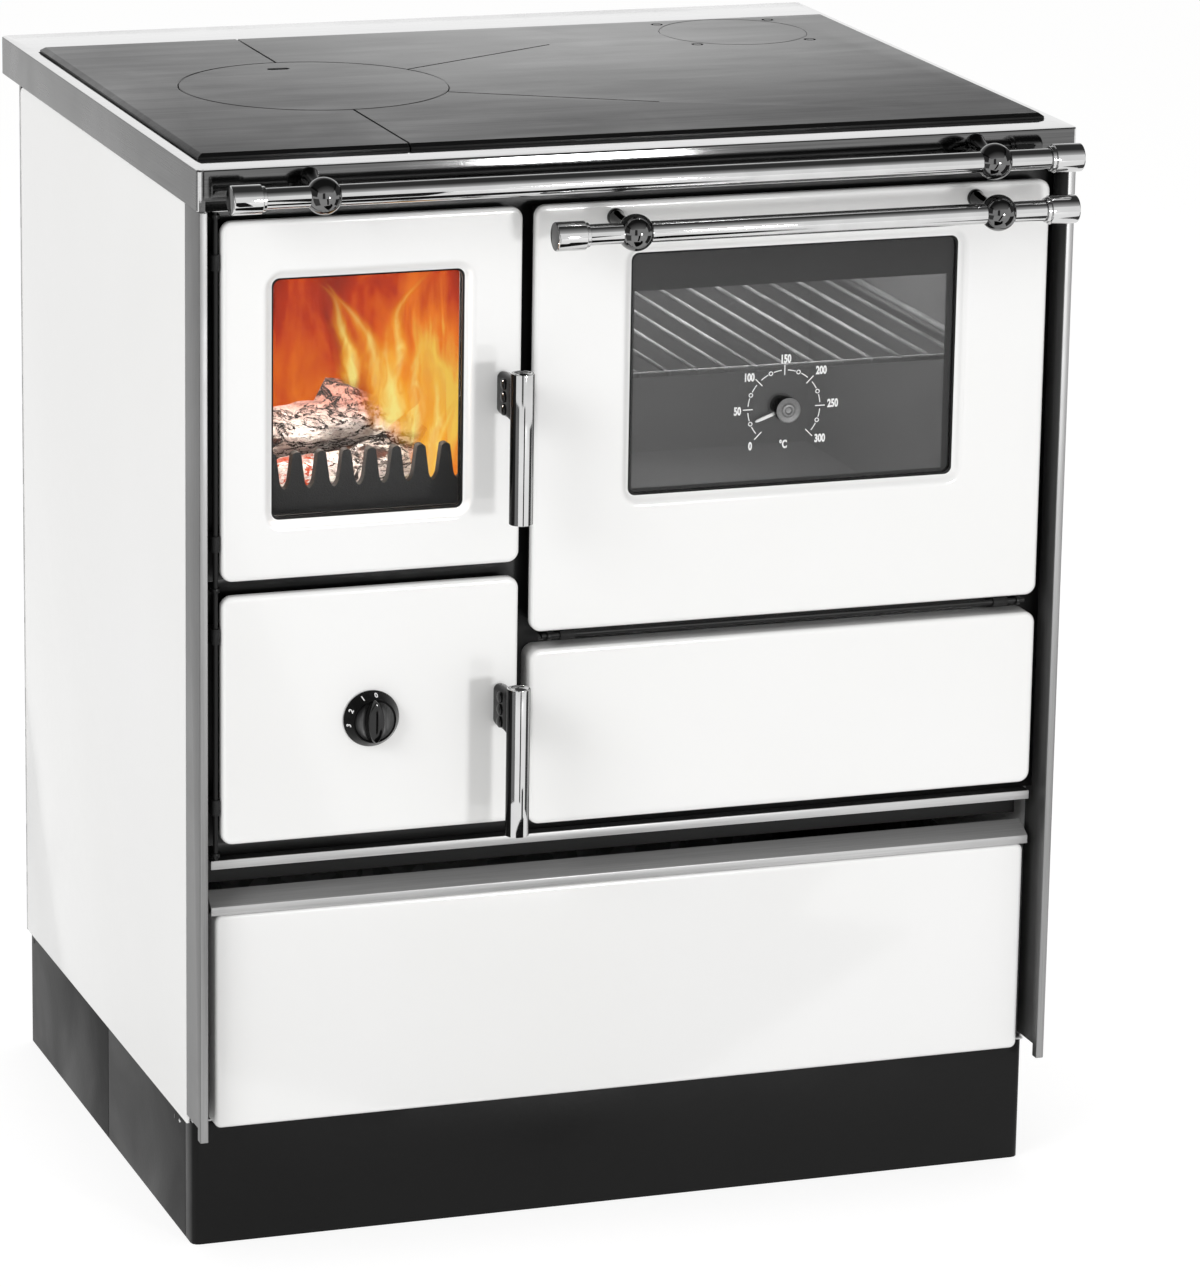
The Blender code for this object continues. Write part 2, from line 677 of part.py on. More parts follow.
def body_sheets():
    low = PLINTH_HEIGHT - PLINTH_LAP
    high = FRAME_BOTTOM - GAP
    near = POST_DEPTH + GAP
    corner = (INNER_BACK - SIDE_CORNER, high - SIDE_CORNER)
    outline = [(near, low), (INNER_BACK, low)]
    outline += arc(corner, SIDE_CORNER, 0, math.pi / 2, CORNER_STEPS)
    outline += [(near, high)]
    for side, sign in SIDES.items():
        x = mirrored((SIDE_X - SIDE_SHEET, SIDE_X), sign)
        piece(f"side_panel_{side}", prism(outline, "x", *x), "white_enamel")

    neck = WIDTH / 2 - FRAME_SKIRT - GAP
    back = [
        (-SIDE_X, low),
        (SIDE_X, low),
        (SIDE_X, high),
        (neck, high),
        (neck, UNDER_FRAME),
        (-neck, UNDER_FRAME),
        (-neck, high),
        (-SIDE_X, high),
    ]
    panel = piece("back_panel", prism(back, "d", BODY_DEPTH - BACK_SHEET, BODY_DEPTH), "galvanised")
    hole = (BODY_DEPTH - BACK_SHEET - CUT, BODY_DEPTH + CUT)
    cut(panel, rod("d", (FLUE_X, FLUE_HEIGHT), *hole, FLUE_RADIUS + GAP, FLUE_SIDES))


def posts():
    high = FRAME_BOTTOM - GAP
    outline = [
        (0, POST_BOTTOM),
        (POST_TONGUE, POST_BOTTOM),
        (POST_TONGUE, POST_BOTTOM + POST_STEP),
        (POST_DEPTH, POST_BOTTOM + POST_STEP),
        (POST_DEPTH, high),
        (0, high),
    ]
    for side, sign in SIDES.items():
        x = mirrored((POST_INNER, SIDE_X), sign)
        piece(f"post_{side}", prism(outline, "x", *x), "satin_post")


def hob_frame():
    outline = rounded((-WIDTH / 2, WIDTH / 2), (0, DEPTH), FRAME_CORNER)
    frame = piece("hob_frame", prism(outline, "z", FRAME_BOTTOM, HEIGHT), "stainless")
    under_x = (-WIDTH / 2 + FRAME_SKIRT, WIDTH / 2 - FRAME_SKIRT)
    under_d = (FRAME_SKIRT, DEPTH - FRAME_SKIRT)
    recess_x = shrunk((-WIDTH / 2, WIDTH / 2), RIM_SIDE)
    recess_d = (RIM_FRONT, DEPTH - RIM_REAR)
    cut(
        frame,
        block(under_x, under_d, (FRAME_BOTTOM - CUT, HEIGHT - FRAME_TOP)),
        block(recess_x, recess_d, (PLATE_BOTTOM - GAP, HEIGHT + CUT)),
        block(shrunk(recess_x, RIM_LEDGE), shrunk(recess_d, RIM_LEDGE), (FRAME_BOTTOM, HEIGHT)),
    )


def expansion_slots():
    """Two narrow cuts that fan out from the lid's hole."""
    slots = []
    for sign in (-1, 1):
        towards = (math.cos(SLOT_ANGLE), sign * math.sin(SLOT_ANGLE))
        start = (LID_X + SLOT_START * towards[0], LID_DEPTH + SLOT_START * towards[1])
        end = (LID_X + SLOT_REACH * towards[0], LID_DEPTH + SLOT_REACH * towards[1])
        outline = capsule(start, end, SLOT_WIDTH / 2, 2)
        slots.append(prism(outline, "z", PLATE_BOTTOM - CUT, PLATE_TOP + CUT))
    return slots


def stepped_hole(centre, radius, ledge, depth, sides):
    """Hole for a disc that lies on a ledge, its top level with the plate."""
    profile = [
        (PLATE_BOTTOM - CUT, 0),
        (PLATE_BOTTOM - CUT, radius - ledge),
        (PLATE_TOP - depth, radius - ledge),
        (PLATE_TOP - depth, radius),
        (PLATE_TOP + CUT, radius),
        (PLATE_TOP + CUT, 0),
    ]
    return turned(profile, "z", centre, sides)


def hob_plates():
    plate_d = (PLATE_FRONT, PLATE_BACK)
    plate_z = (PLATE_BOTTOM, PLATE_TOP)
    lid_centre = (LID_X, LID_DEPTH)
    lid_hole = LID_RADIUS + LID_CLEARANCE
    spans = {
        "left": (-PLATE_HALF, LID_X - PLATE_SPLIT / 2),
        "right": (LID_X + PLATE_SPLIT / 2, PLATE_HALF),
    }
    for side, x in spans.items():
        plate = piece(f"hob_plate_{side}", block(x, plate_d, plate_z), "hob_steel")
        cut(plate, stepped_hole(lid_centre, lid_hole, LID_LEDGE, LID_THICKNESS, LID_SIDES))
        if side == "right":
            cut(plate, *expansion_slots())
            centre = (FLUE_X, FLUE_COVER_DEPTH)
            hole = FLUE_COVER_RADIUS + LID_CLEARANCE
            cut(plate, stepped_hole(centre, hole, FLUE_COVER_LEDGE, FLUE_COVER_THICKNESS, FLUE_SIDES))

    cover_z = (PLATE_TOP - FLUE_COVER_THICKNESS + GAP, PLATE_TOP)
    disc = rod("z", (FLUE_X, FLUE_COVER_DEPTH), *cover_z, FLUE_COVER_RADIUS, FLUE_SIDES)
    piece("flue_cover", disc, "hob_steel", smooth=True)


def hob_lid():
    place = spot("z", PLATE_TOP, LID_X, LID_DEPTH)
    body = pivot("lid_lift", place)
    seat = PLATE_TOP - LID_THICKNESS + GAP
    boss = LID_RADIUS - LID_LEDGE - LID_CLEARANCE
    profile = [
        (PLATE_BOTTOM, 0),
        (PLATE_BOTTOM, boss),
        (seat, boss),
        (seat, LID_RADIUS),
        (PLATE_TOP, LID_RADIUS),
        (PLATE_TOP, 0),
    ]
    disc = turned(profile, "z", (LID_X, LID_DEPTH), LID_SIDES)
    lid = piece("hob_lid", disc, "hob_steel", body, smooth=True)
    x = LID_X + LID_LIFT[0]
    d = LID_DEPTH + LID_LIFT[1]
    half_x = LID_LIFT_SIZE[0] / 2
    half_d = LID_LIFT_SIZE[1] / 2
    low = PLATE_TOP - LID_LIFT_DEPTH
    cut(lid, block((x - half_x, x + half_x), (d - half_d, d + half_d), (low, PLATE_TOP + CUT)))


def flue_collar():
    """Round spigot through the back panel, with a flange against it."""
    flange = (BODY_DEPTH + GAP, BODY_DEPTH + GAP + FLUE_WALL)
    near = BODY_DEPTH - FLUE_INSIDE
    far = BODY_DEPTH + FLUE_OUTSIDE
    profile = [
        (near, FLUE_RADIUS - FLUE_WALL),
        (near, FLUE_RADIUS),
        (flange[0], FLUE_RADIUS),
        (flange[0], FLUE_RADIUS + FLUE_FLANGE),
        (flange[1], FLUE_RADIUS + FLUE_FLANGE),
        (flange[1], FLUE_RADIUS),
        (far, FLUE_RADIUS),
        (far, FLUE_RADIUS - FLUE_WALL),
    ]
    tube = turned(profile, "d", (FLUE_X, FLUE_HEIGHT), FLUE_SIDES, ring=True)
    piece("flue_collar", tube, "cast_iron", smooth=True)


def hinge_outline(pin, far, arm=None):
    """Lug or knuckle round a pin: (away from the door's edge, depth) points, round in front of the pin."""
    front = arc((pin, HINGE_DEPTH), KNUCKLE_RADIUS, 0, -math.pi, KNUCKLE_STEPS)
    if arm is None:
        return front + [(pin - KNUCKLE_RADIUS, far), (pin + KNUCKLE_RADIUS, far)]
    near = far - ARM_THICKNESS
    return front + [
        (pin - KNUCKLE_RADIUS, far),
        (arm, far),
        (arm, near),
        (pin + KNUCKLE_RADIUS, near),
    ]


def swapped(outline):
    return [(b, a) for a, b in outline]


def lug_places():
    """Heights of the vertical pin's lugs: over the fire door, between the doors and under the ash door."""
    half = LUG_THICKNESS / 2
    middles = (FIRE_Z[1] + LUG_ABOVE, (ASH_Z[1] + FIRE_Z[0]) / 2, ASH_Z[0] - LUG_BELOW)
    return [(middle - half, middle + half) for middle in middles]


def front_plate():
    """Black sheet behind the doors, with the hinges' lugs on it."""
    d = (FRONT_PLATE_DEPTH, FRONT_PLATE_DEPTH + FRONT_PLATE_SHEET)
    x = (-POST_INNER + GAP, POST_INNER - GAP)
    plate = piece("front_plate", block(x, d, (SILL_TOP + GAP, UNDER_FRAME)), "black_enamel")
    through = (d[0] - CUT, d[1] + CUT)
    cut(
        plate,
        block(FIRE_OPENING_X, through, FIRE_OPENING_Z),
        block(FIRE_OPENING_X, through, ASH_OPENING_Z),
        block(OVEN_OPENING_X, through, OVEN_OPENING_Z),
    )
    into = d[0] + FRONT_PLATE_SHEET / 2
    door_lug = hinge_outline(DOOR_PIN_X, into)
    unite(plate, *[prism(door_lug, "z", *z) for z in lug_places()])
    oven_lug = swapped(hinge_outline(OVEN_PIN_Z, into))
    half = LUG_THICKNESS / 2
    ends = shrunk(OVEN_X, LUG_INSET)
    unite(plate, *[prism(oven_lug, "x", end - half, end + half) for end in ends])
    bore = PIN_RADIUS + GAP
    pin_z = (ASH_OPENING_Z[0] - FIRE_LAP - LUG_BELOW - LUG_THICKNESS, FRAME_BOTTOM)
    cut(
        plate,
        rod("z", (DOOR_PIN_X, HINGE_DEPTH), *pin_z, bore, SMALL_SIDES),
        rod("x", (HINGE_DEPTH, OVEN_PIN_Z), *OVEN_X, bore, SMALL_SIDES),
    )


def hinge_pins():
    lugs = lug_places()
    pin_z = (lugs[2][0] - PIN_END, lugs[0][1] + PIN_END)
    piece(
        "door_hinge_pin",
        rod("z", (DOOR_PIN_X, HINGE_DEPTH), *pin_z, PIN_RADIUS, SMALL_SIDES),
        "steel",
        smooth=True,
    )
    ends = shrunk(OVEN_X, LUG_INSET)
    pin_x = (ends[0] - PIN_END - LUG_THICKNESS, ends[1] + PIN_END + LUG_THICKNESS)
    piece(
        "oven_hinge_pin",
        rod("x", (HINGE_DEPTH, OVEN_PIN_Z), *pin_x, PIN_RADIUS, SMALL_SIDES),
        "steel",
        smooth=True,
    )


def window_of(x, z, margins):
    return shrunk(x, margins[0], margins[1]), shrunk(z, margins[2], margins[3])


def door_panel(name, x, z, body, margins=None):
    d = (DOOR_SETBACK, PANEL_BACK)
    shape = ease_front(prism(rounded(x, z, DOOR_CORNER), "d", *d), d[0], DOOR_EDGE)
    panel = piece(name, shape, "white_enamel", body)
    if margins:
        window = rounded(*window_of(x, z, margins), WINDOW_CORNER)
        cut(panel, prism(window, "d", d[0] - CUT, d[1] + CUT))
    return panel


def door_liner(name, x, z, body, hinge, margins=None, shade=None):
    """Iron tray behind a door panel: a plate with a rim that meets the front plate."""
    x_inset = (LINER_HINGE_INSET if hinge == "left" else LINER_INSET, LINER_INSET)
    z_inset = (LINER_HINGE_INSET if hinge == "bottom" else LINER_INSET, LINER_INSET)
    tray_x = shrunk(x, *x_inset)
    tray_z = shrunk(z, *z_inset)
    liner = piece(name, block(tray_x, (LINER_FRONT, LINER_BACK), tray_z), "cast_iron", body)
    pocket = (LINER_PLATE_BACK, LINER_BACK + CUT)
    cut(liner, block(shrunk(tray_x, LINER_FLANGE), pocket, shrunk(tray_z, LINER_FLANGE)))
    if margins:
        window_x, window_z = window_of(x, z, margins)
        seat = GLASS_LAP + GLASS_CLEARANCE
        rabbet = (LINER_FRONT - CUT, LINER_FRONT + GLASS_THICKNESS + GAP)
        through = (LINER_FRONT - CUT, LINER_BACK)
        opening_x = shrunk(window_x, shade[0], shade[1])
        opening_z = shrunk(window_z, shade[2], shade[3])
        cut(
            liner,
            block(shrunk(window_x, -seat), rabbet, shrunk(window_z, -seat)),
            block(opening_x, through, opening_z),
        )
    return liner


def add_knuckles(liner, x, z, hinge):
    """Two arms with knuckles from the liner's rim round the pin."""
    across = x if hinge == "left" else z
    along = z if hinge == "left" else x
    pin = across[0] - HINGE_OFFSET
    arm_end = across[0] + LINER_HINGE_INSET + ARM_LAP
    far = LINER_PLATE_BACK + GAP + ARM_THICKNESS
    outline = hinge_outline(pin, far, arm_end)
    axis = "z"
    centre = (pin, HINGE_DEPTH)
    if hinge == "bottom":
        outline = swapped(outline)
        axis = "x"
        centre = (HINGE_DEPTH, pin)
    half = KNUCKLE_LENGTH / 2
    middles = shrunk(along, KNUCKLE_INSET)
    unite(liner, *[prism(outline, axis, middle - half, middle + half) for middle in middles])
    cut(liner, rod(axis, centre, *along, PIN_RADIUS + GAP, SMALL_SIDES))


def door_glass(name, x, z, body, margins, finish):
    window_x, window_z = window_of(x, z, margins)
    d = (LINER_FRONT, LINER_FRONT + GLASS_THICKNESS)
    shape = block(shrunk(window_x, -GLASS_LAP), d, shrunk(window_z, -GLASS_LAP))
    return piece(name, shape, finish, body)


def spindle_bore(x, z, radius):
    """Cutter for a shaft through a door's panel and liner."""
    return rod("d", (x, z), DOOR_SETBACK - CUT, LINER_BACK, radius + GAP, ROD_SIDES)


def door_lever(name, z, door):
    """Bracket with its spindle and tongue, and the upright grip in front of it."""
    body = pivot(f"{name}_turn", spot("d", DOOR_SETBACK, LEVER_X, z), door)
    grip_depth = DOOR_SETBACK - GRIP_REACH
    half_width = BRACKET_WIDTH / 2
    half_height = BRACKET_HEIGHT / 2
    outline = rounded(
        (LEVER_X - half_width, LEVER_X + half_width), (z - half_height, z + half_height), BRACKET_CORNER
    )
    arm = (grip_depth + GRIP_RADIUS + GAP, DOOR_FRONT)
    bracket = piece(f"{name}_bracket", prism(outline, "d", *arm), "black_plastic", body, smooth=True)
    tongue = (LINER_PLATE_BACK + SHUTTER_PLAY, LINER_PLATE_BACK + SHUTTER_PLAY + TONGUE_THICKNESS)
    half = TONGUE_WIDTH / 2
    unite(
        bracket,
        rod("d", (LEVER_X, z), arm[1] - CUT, tongue[1], SPINDLE_RADIUS, ROD_SIDES),
        block((LEVER_X - half, LEVER_X + half), tongue, (z - TONGUE_LENGTH, z)),
    )
    top = z + GRIP_ABOVE
    low = top - GRIP_LENGTH
    profile = [
        (low, 0),
        (low, GRIP_RADIUS - GRIP_EDGE),
        (low + GRIP_EDGE, GRIP_RADIUS),
        (top - GRIP_EDGE, GRIP_RADIUS),
        (top, GRIP_RADIUS - GRIP_EDGE),
        (top, 0),
    ]
    grip = turned(profile, "z", (LEVER_X, grip_depth))
    piece(f"{name}_grip", grip, "chrome", body, smooth=True)


def fire_door():
    body = pivot("fire_door_swing", spot("z", FIRE_Z[0], DOOR_PIN_X, HINGE_DEPTH))
    panel = door_panel("fire_door_panel", FIRE_X, FIRE_Z, body, FIRE_MARGINS)
    liner = door_liner("fire_door_liner", FIRE_X, FIRE_Z, body, "left", FIRE_MARGINS, FIRE_SHADE)
    add_knuckles(liner, FIRE_X, FIRE_Z, "left")
    door_glass("fire_door_glass", FIRE_X, FIRE_Z, body, FIRE_MARGINS, "glass")
    for part in (panel, liner):
        cut(part, spindle_bore(LEVER_X, FIRE_LEVER_Z, SPINDLE_RADIUS))
    door_lever("fire_lever", FIRE_LEVER_Z, body)


def air_slot_spans():
    """X spans of the air slots in the ash door's liner."""
    half = AIR_SLOT_SIZE[0] / 2
    first = KNOB_X - AIR_SLOT_PITCH * (AIR_SLOTS - 1) / 2
    middles = [first + AIR_SLOT_PITCH * i for i in range(AIR_SLOTS)]
    return [(middle - half, middle + half) for middle in middles]


def ash_door():
    body = pivot("ash_door_swing", spot("z", ASH_Z[0], DOOR_PIN_X, HINGE_DEPTH))
    panel = door_panel("ash_door_panel", FIRE_X, ASH_Z, body)
    liner = door_liner("ash_door_liner", FIRE_X, ASH_Z, body, "left")
    add_knuckles(liner, FIRE_X, ASH_Z, "left")
    for part in (panel, liner):
        cut(
            part,
            spindle_bore(LEVER_X, ASH_LEVER_Z, SPINDLE_RADIUS),
            spindle_bore(KNOB_X, KNOB_Z, SHAFT_RADIUS),
        )
    slots = air_slot_spans()
    middle = KNOB_Z - AIR_SLOT_DROP
    slot_z = (middle - AIR_SLOT_SIZE[1] / 2, middle + AIR_SLOT_SIZE[1] / 2)
    channel_x = (slots[0][0] - GUIDE_WIDTH, slots[-1][1] + GUIDE_WIDTH)
    channel_d = (LINER_FRONT - CUT, LINER_FRONT + AIR_CHANNEL)
    through = (LINER_FRONT + AIR_CHANNEL - GAP, LINER_PLATE_BACK + CUT)
    cut(
        liner,
        block(channel_x, channel_d, (ASH_Z[0], slot_z[1])),
        joined([block(x, through, slot_z) for x in slots]),
    )
    shutter_x = (slots[0][0] - SHUTTER_LAP, slots[-1][1] + SHUTTER_LAP)
    guide_d = (LINER_PLATE_BACK - CUT, LINER_PLATE_BACK + GUIDE_DEPTH)
    guide_z = (slot_z[0] - SHUTTER_LAP, slot_z[1] + SHUTTER_LAP + SHUTTER_TRAVEL)
    left = shutter_x[0] - SHUTTER_PLAY
    right = shutter_x[1] + SHUTTER_PLAY
    unite(
        liner,
        block((left - GUIDE_WIDTH, left), guide_d, guide_z),
        block((right, right + GUIDE_WIDTH), guide_d, guide_z),
    )
    air_shutter(body, shutter_x, slot_z)
    air_knob(body)
    door_lever("ash_lever", ASH_LEVER_Z, body)


def crank_pin_place(angle):
    """X and height of the crank's pin when the knob is turned by an angle."""
    turn = CRANK_START + angle
    return KNOB_X - CRANK_RADIUS * math.sin(turn), KNOB_Z - CRANK_RADIUS * math.cos(turn)


def air_shutter(door, x, slot_z):
    """Plate over the air slots that the crank raises; its arm is slotted for the shaft and the pin."""
    low = slot_z[0] - SHUTTER_LAP
    shoulder = slot_z[1] + SHUTTER_LAP
    top = KNOB_Z + SHAFT_RADIUS + SHUTTER_LAP
    d = (LINER_PLATE_BACK + SHUTTER_PLAY, LINER_PLATE_BACK + SHUTTER_PLAY + SHUTTER_SHEET)
    body = pivot("air_shutter_slide", spot("d", d[0], KNOB_X, (low + shoulder) / 2), door)
    arm = (KNOB_X - SHUTTER_ARM_HALF, KNOB_X + SHUTTER_ARM_HALF)
    outline = [
        (x[0], low),
        (x[1], low),
        (x[1], shoulder),
        (arm[1], shoulder),
        (arm[1], top),
        (arm[0], top),
        (arm[0], shoulder),
        (x[0], shoulder),
    ]
    shutter = piece("air_shutter", prism(outline, "d", *d), "steel", body)
    through = (d[0] - SHUTTER_PLAY, d[1] + CUT)
    shaft = capsule((KNOB_X, KNOB_Z - SHUTTER_TRAVEL), (KNOB_X, KNOB_Z), SHAFT_RADIUS + GAP * 2)
    pin = crank_pin_place(0)
    slot = capsule((KNOB_X - CRANK_RADIUS, pin[1]), pin, CRANK_PIN_RADIUS + CRANK_PLAY)
    cut(shutter, prism(shaft, "d", *through), prism(slot, "d", *through))


def air_knob(door):
    """Round knob with a dished face and a bar grip, on a steel spindle with a crank behind the liner."""
    body = pivot("air_knob_turn", spot("d", DOOR_SETBACK, KNOB_X, KNOB_Z), door)
    centre = (KNOB_X, KNOB_Z)
    rim = DOOR_FRONT - KNOB_RIM
    dish = KNOB_RADIUS - KNOB_RIM_WIDTH
    profile = [
        (DOOR_FRONT, 0),
        (DOOR_FRONT, KNOB_RADIUS),
        (rim + GRIP_EDGE, KNOB_RADIUS),
        (rim, KNOB_RADIUS - GRIP_EDGE),
        (rim, dish),
        (rim + KNOB_DISH, dish - KNOB_DISH),
        (rim + KNOB_DISH, 0),
    ]
    knob = piece("air_knob", turned(profile, "d", centre, FLUE_SIDES), "black_plastic", body, smooth=True)
    bar_x = (KNOB_X - KNOB_BAR_WIDTH / 2, KNOB_X + KNOB_BAR_WIDTH / 2)
    bar_z = (KNOB_Z - KNOB_BAR_LENGTH / 2, KNOB_Z + KNOB_BAR_LENGTH / 2)
    front = DOOR_SETBACK - KNOB_REACH
    bar = prism(rounded(bar_x, bar_z, BRACKET_CORNER), "d", front, rim + 2 * KNOB_DISH)
    unite(knob, ease_front(bar, front, GRIP_EDGE))
    socket = DOOR_FRONT - SHAFT_SOCKET
    cut(knob, rod("d", centre, socket, DOOR_FRONT + CUT, SHAFT_RADIUS + GAP))

    crank_near = LINER_PLATE_BACK + SHUTTER_PLAY + SHUTTER_SHEET + SHUTTER_PLAY
    crank_far = crank_near + CRANK_THICKNESS
    spindle = piece(
        "air_spindle", rod("d", centre, socket + GAP, crank_far, SHAFT_RADIUS), "steel", body, smooth=True
    )
    pin = crank_pin_place(0)
    arm = capsule(centre, pin, SHAFT_RADIUS + GAP)
    pin_near = LINER_PLATE_BACK + SHUTTER_PLAY
    unite(
        spindle,
        prism(arm, "d", crank_near, crank_far - GAP),
        rod("d", pin, pin_near, crank_far - 2 * GAP, CRANK_PIN_RADIUS, SMALL_SIDES),
    )


def end_cap(name, centre, end, sign, body=None):
    """Chrome cap on a rod's end; the centre is (depth, height)."""
    near = end - sign * CAP_LENGTH
    collar_radius, collar_length = CAP_COLLAR
    profile = [
        (near, ROD_RADIUS + GAP),
        (near, collar_radius),
        (near + sign * collar_length, collar_radius),
        (near + sign * collar_length, CAP_RADIUS),
        (end - sign * CAP_EDGE, CAP_RADIUS),
        (end, CAP_RADIUS - CAP_EDGE),
        (end, 0),
        (near + sign * CAP_SOCKET, 0),
        (near + sign * CAP_SOCKET, ROD_RADIUS + GAP),
    ]
    piece(name, turned(profile, "x", centre, ring=True), "chrome", body, smooth=True)


def ball_bracket(name, x, rod_centre, face, boss_rise, body=None):
    """Ball round a rod, on a neck that leans up to a domed boss on the face behind."""
    depth, height = rod_centre
    boss_z = height + boss_rise
    shape = ball(spot("x", x, depth, height), BALL_HALF, BALL_RADIUS)
    bracket = piece(name, shape, "chrome", body, smooth=True)
    dome = [(face, 0)]
    dome += [(face - b, a) for a, b in arc((0, 0), BOSS_RADIUS, 0, math.pi / 2, DOME_STEPS)]
    neck_end = spot("x", x, face - BOSS_RADIUS / 2, boss_z)
    unite(
        bracket,
        strut(spot("x", x, depth, height), neck_end, NECK_RADIUS),
        turned(dome, "d", (x, boss_z), SMALL_SIDES),
    )
    span = (x - BALL_HALF - CUT, x + BALL_HALF + CUT)
    cut(bracket, rod("x", rod_centre, *span, ROD_RADIUS + GAP))


def handle_bar(name, middle, half, rod_centre, brackets, face, boss_rise, body=None):
    """Rod with a cap on each end and two ball brackets."""
    reach = half - CAP_LENGTH + CAP_SOCKET - GAP
    bar = rod("x", rod_centre, middle - reach, middle + reach, ROD_RADIUS)
    piece(f"{name}_rod", bar, "chrome", body, smooth=True)
    for side, sign in SIDES.items():
        end_cap(f"{name}_cap_{side}", rod_centre, middle + sign * half, sign, body)
        x = middle + sign * brackets
        ball_bracket(f"{name}_bracket_{side}", x, rod_centre, face, boss_rise, body)


def towel_rail():
    centre = (-TOWEL_REACH, TOWEL_Z)
    handle_bar("towel_rail", 0, TOWEL_HALF, centre, TOWEL_BRACKET, -GAP, TOWEL_BOSS_RISE)


def oven_door():
    body = pivot("oven_door_swing", spot("x", HANDLE_X, HINGE_DEPTH, OVEN_PIN_Z))
    door_panel("oven_door_panel", OVEN_X, OVEN_Z, body, OVEN_MARGINS)
    liner = door_liner("oven_door_liner", OVEN_X, OVEN_Z, body, "bottom", OVEN_MARGINS, OVEN_SHADE)
    add_knuckles(liner, OVEN_X, OVEN_Z, "bottom")
    glass = door_glass("oven_door_glass", OVEN_X, OVEN_Z, body, OVEN_MARGINS, "smoked_glass")
    hole_d = (LINER_FRONT - CUT, LINER_FRONT + GLASS_THICKNESS + CUT)
    cut(glass, rod("d", (THERMO_X, THERMO_Z), *hole_d, THERMO_STEM + GAP))
    centre = (HANDLE_DEPTH, HANDLE_Z)
    handle_bar(
        "oven_handle", HANDLE_X, HANDLE_HALF, centre, HANDLE_BRACKET, DOOR_FRONT, HANDLE_BOSS_RISE, body
    )
    thermometer(body)


def thermometer(door):
    """Stem through the glass with a head in front, and the pointer that turns on it."""
    centre = (THERMO_X, THERMO_Z)
    collar_far = LINER_FRONT - GAP
    collar_near = collar_far - THERMO_COLLAR[1]
    hub_far = collar_near - POINTER_PLAY
    hub_near = hub_far - POINTER_HUB[1]
    head_far = hub_near - POINTER_PLAY
    nut_near = LINER_FRONT + GLASS_THICKNESS + GAP
    profile = [
        (head_far - THERMO_HEAD[1], 0),
        (head_far - THERMO_HEAD[1], THERMO_HEAD[0] - GRIP_EDGE),
        (head_far - THERMO_HEAD[1] + GRIP_EDGE, THERMO_HEAD[0]),
        (head_far, THERMO_HEAD[0]),
        (head_far, THERMO_STEM),
        (collar_near, THERMO_STEM),
        (collar_near, THERMO_COLLAR[0]),
        (collar_far, THERMO_COLLAR[0]),
        (collar_far, THERMO_STEM),
        (nut_near, THERMO_STEM),
        (nut_near, THERMO_NUT[0]),
        (nut_near + THERMO_NUT[1], THERMO_NUT[0]),
        (nut_near + THERMO_NUT[1], 0),
    ]
    piece("thermometer_body", turned(profile, "d", centre), "black_plastic", door, smooth=True)

    body = pivot("pointer_turn", spot("d", hub_near, *centre), door)
    hub = rod("d", centre, hub_near, hub_far, POINTER_HUB[0])
    pointer = piece("thermometer_pointer", hub, "black_plastic", body, smooth=True)
    tip = (
        THERMO_X + POINTER_REACH * math.cos(POINTER_REST),
        THERMO_Z + POINTER_REACH * math.sin(POINTER_REST),
    )
    start = (
        THERMO_X + POINTER_ROOT * math.cos(POINTER_REST),
        THERMO_Z + POINTER_ROOT * math.sin(POINTER_REST),
    )
    needle = capsule(start, tip, POINTER_WIDTH / 2, 3)
    unite(pointer, prism(needle, "d", hub_near + GAP, hub_far - GAP))
    cut(pointer, rod("d", centre, hub_near - GAP, hub_far + GAP, THERMO_STEM + GAP))


def lower_panel():
    d = (DOOR_SETBACK, LINER_BACK)
    shape = ease_front(prism(rounded(OVEN_X, LOWER_Z, DOOR_CORNER), "d", *d), d[0], DOOR_EDGE)
    panel = piece("lower_cover_panel", shape, "white_enamel")
    wall = LOWER_PANEL_WALL
    hollow = rounded(shrunk(OVEN_X, wall), shrunk(LOWER_Z, wall), DOOR_CORNER - wall)
    cut(panel, prism(hollow, "d", d[0] + wall, d[1] + CUT))


def upper_rail():
    """Folded sheet over the drawer's grip recess."""
    near = SILL_SETBACK
    far = SILL_SETBACK + SILL_DEPTH
    under = SILL_TOP - SILL_SHEET
    outline = [
        (near, SILL_TOP - SILL_LIP),
        (near, SILL_TOP),
        (far, SILL_TOP),
        (far, SILL_TOP - SILL_DROP),
        (far - SILL_SHEET, SILL_TOP - SILL_DROP),
        (far - SILL_SHEET, under),
        (near + SILL_SHEET, under),
        (near + SILL_SHEET, SILL_TOP - SILL_LIP),
    ]
    piece("rail_upper", prism(outline, "x", -RAIL_HALF, RAIL_HALF), "rail_metal")


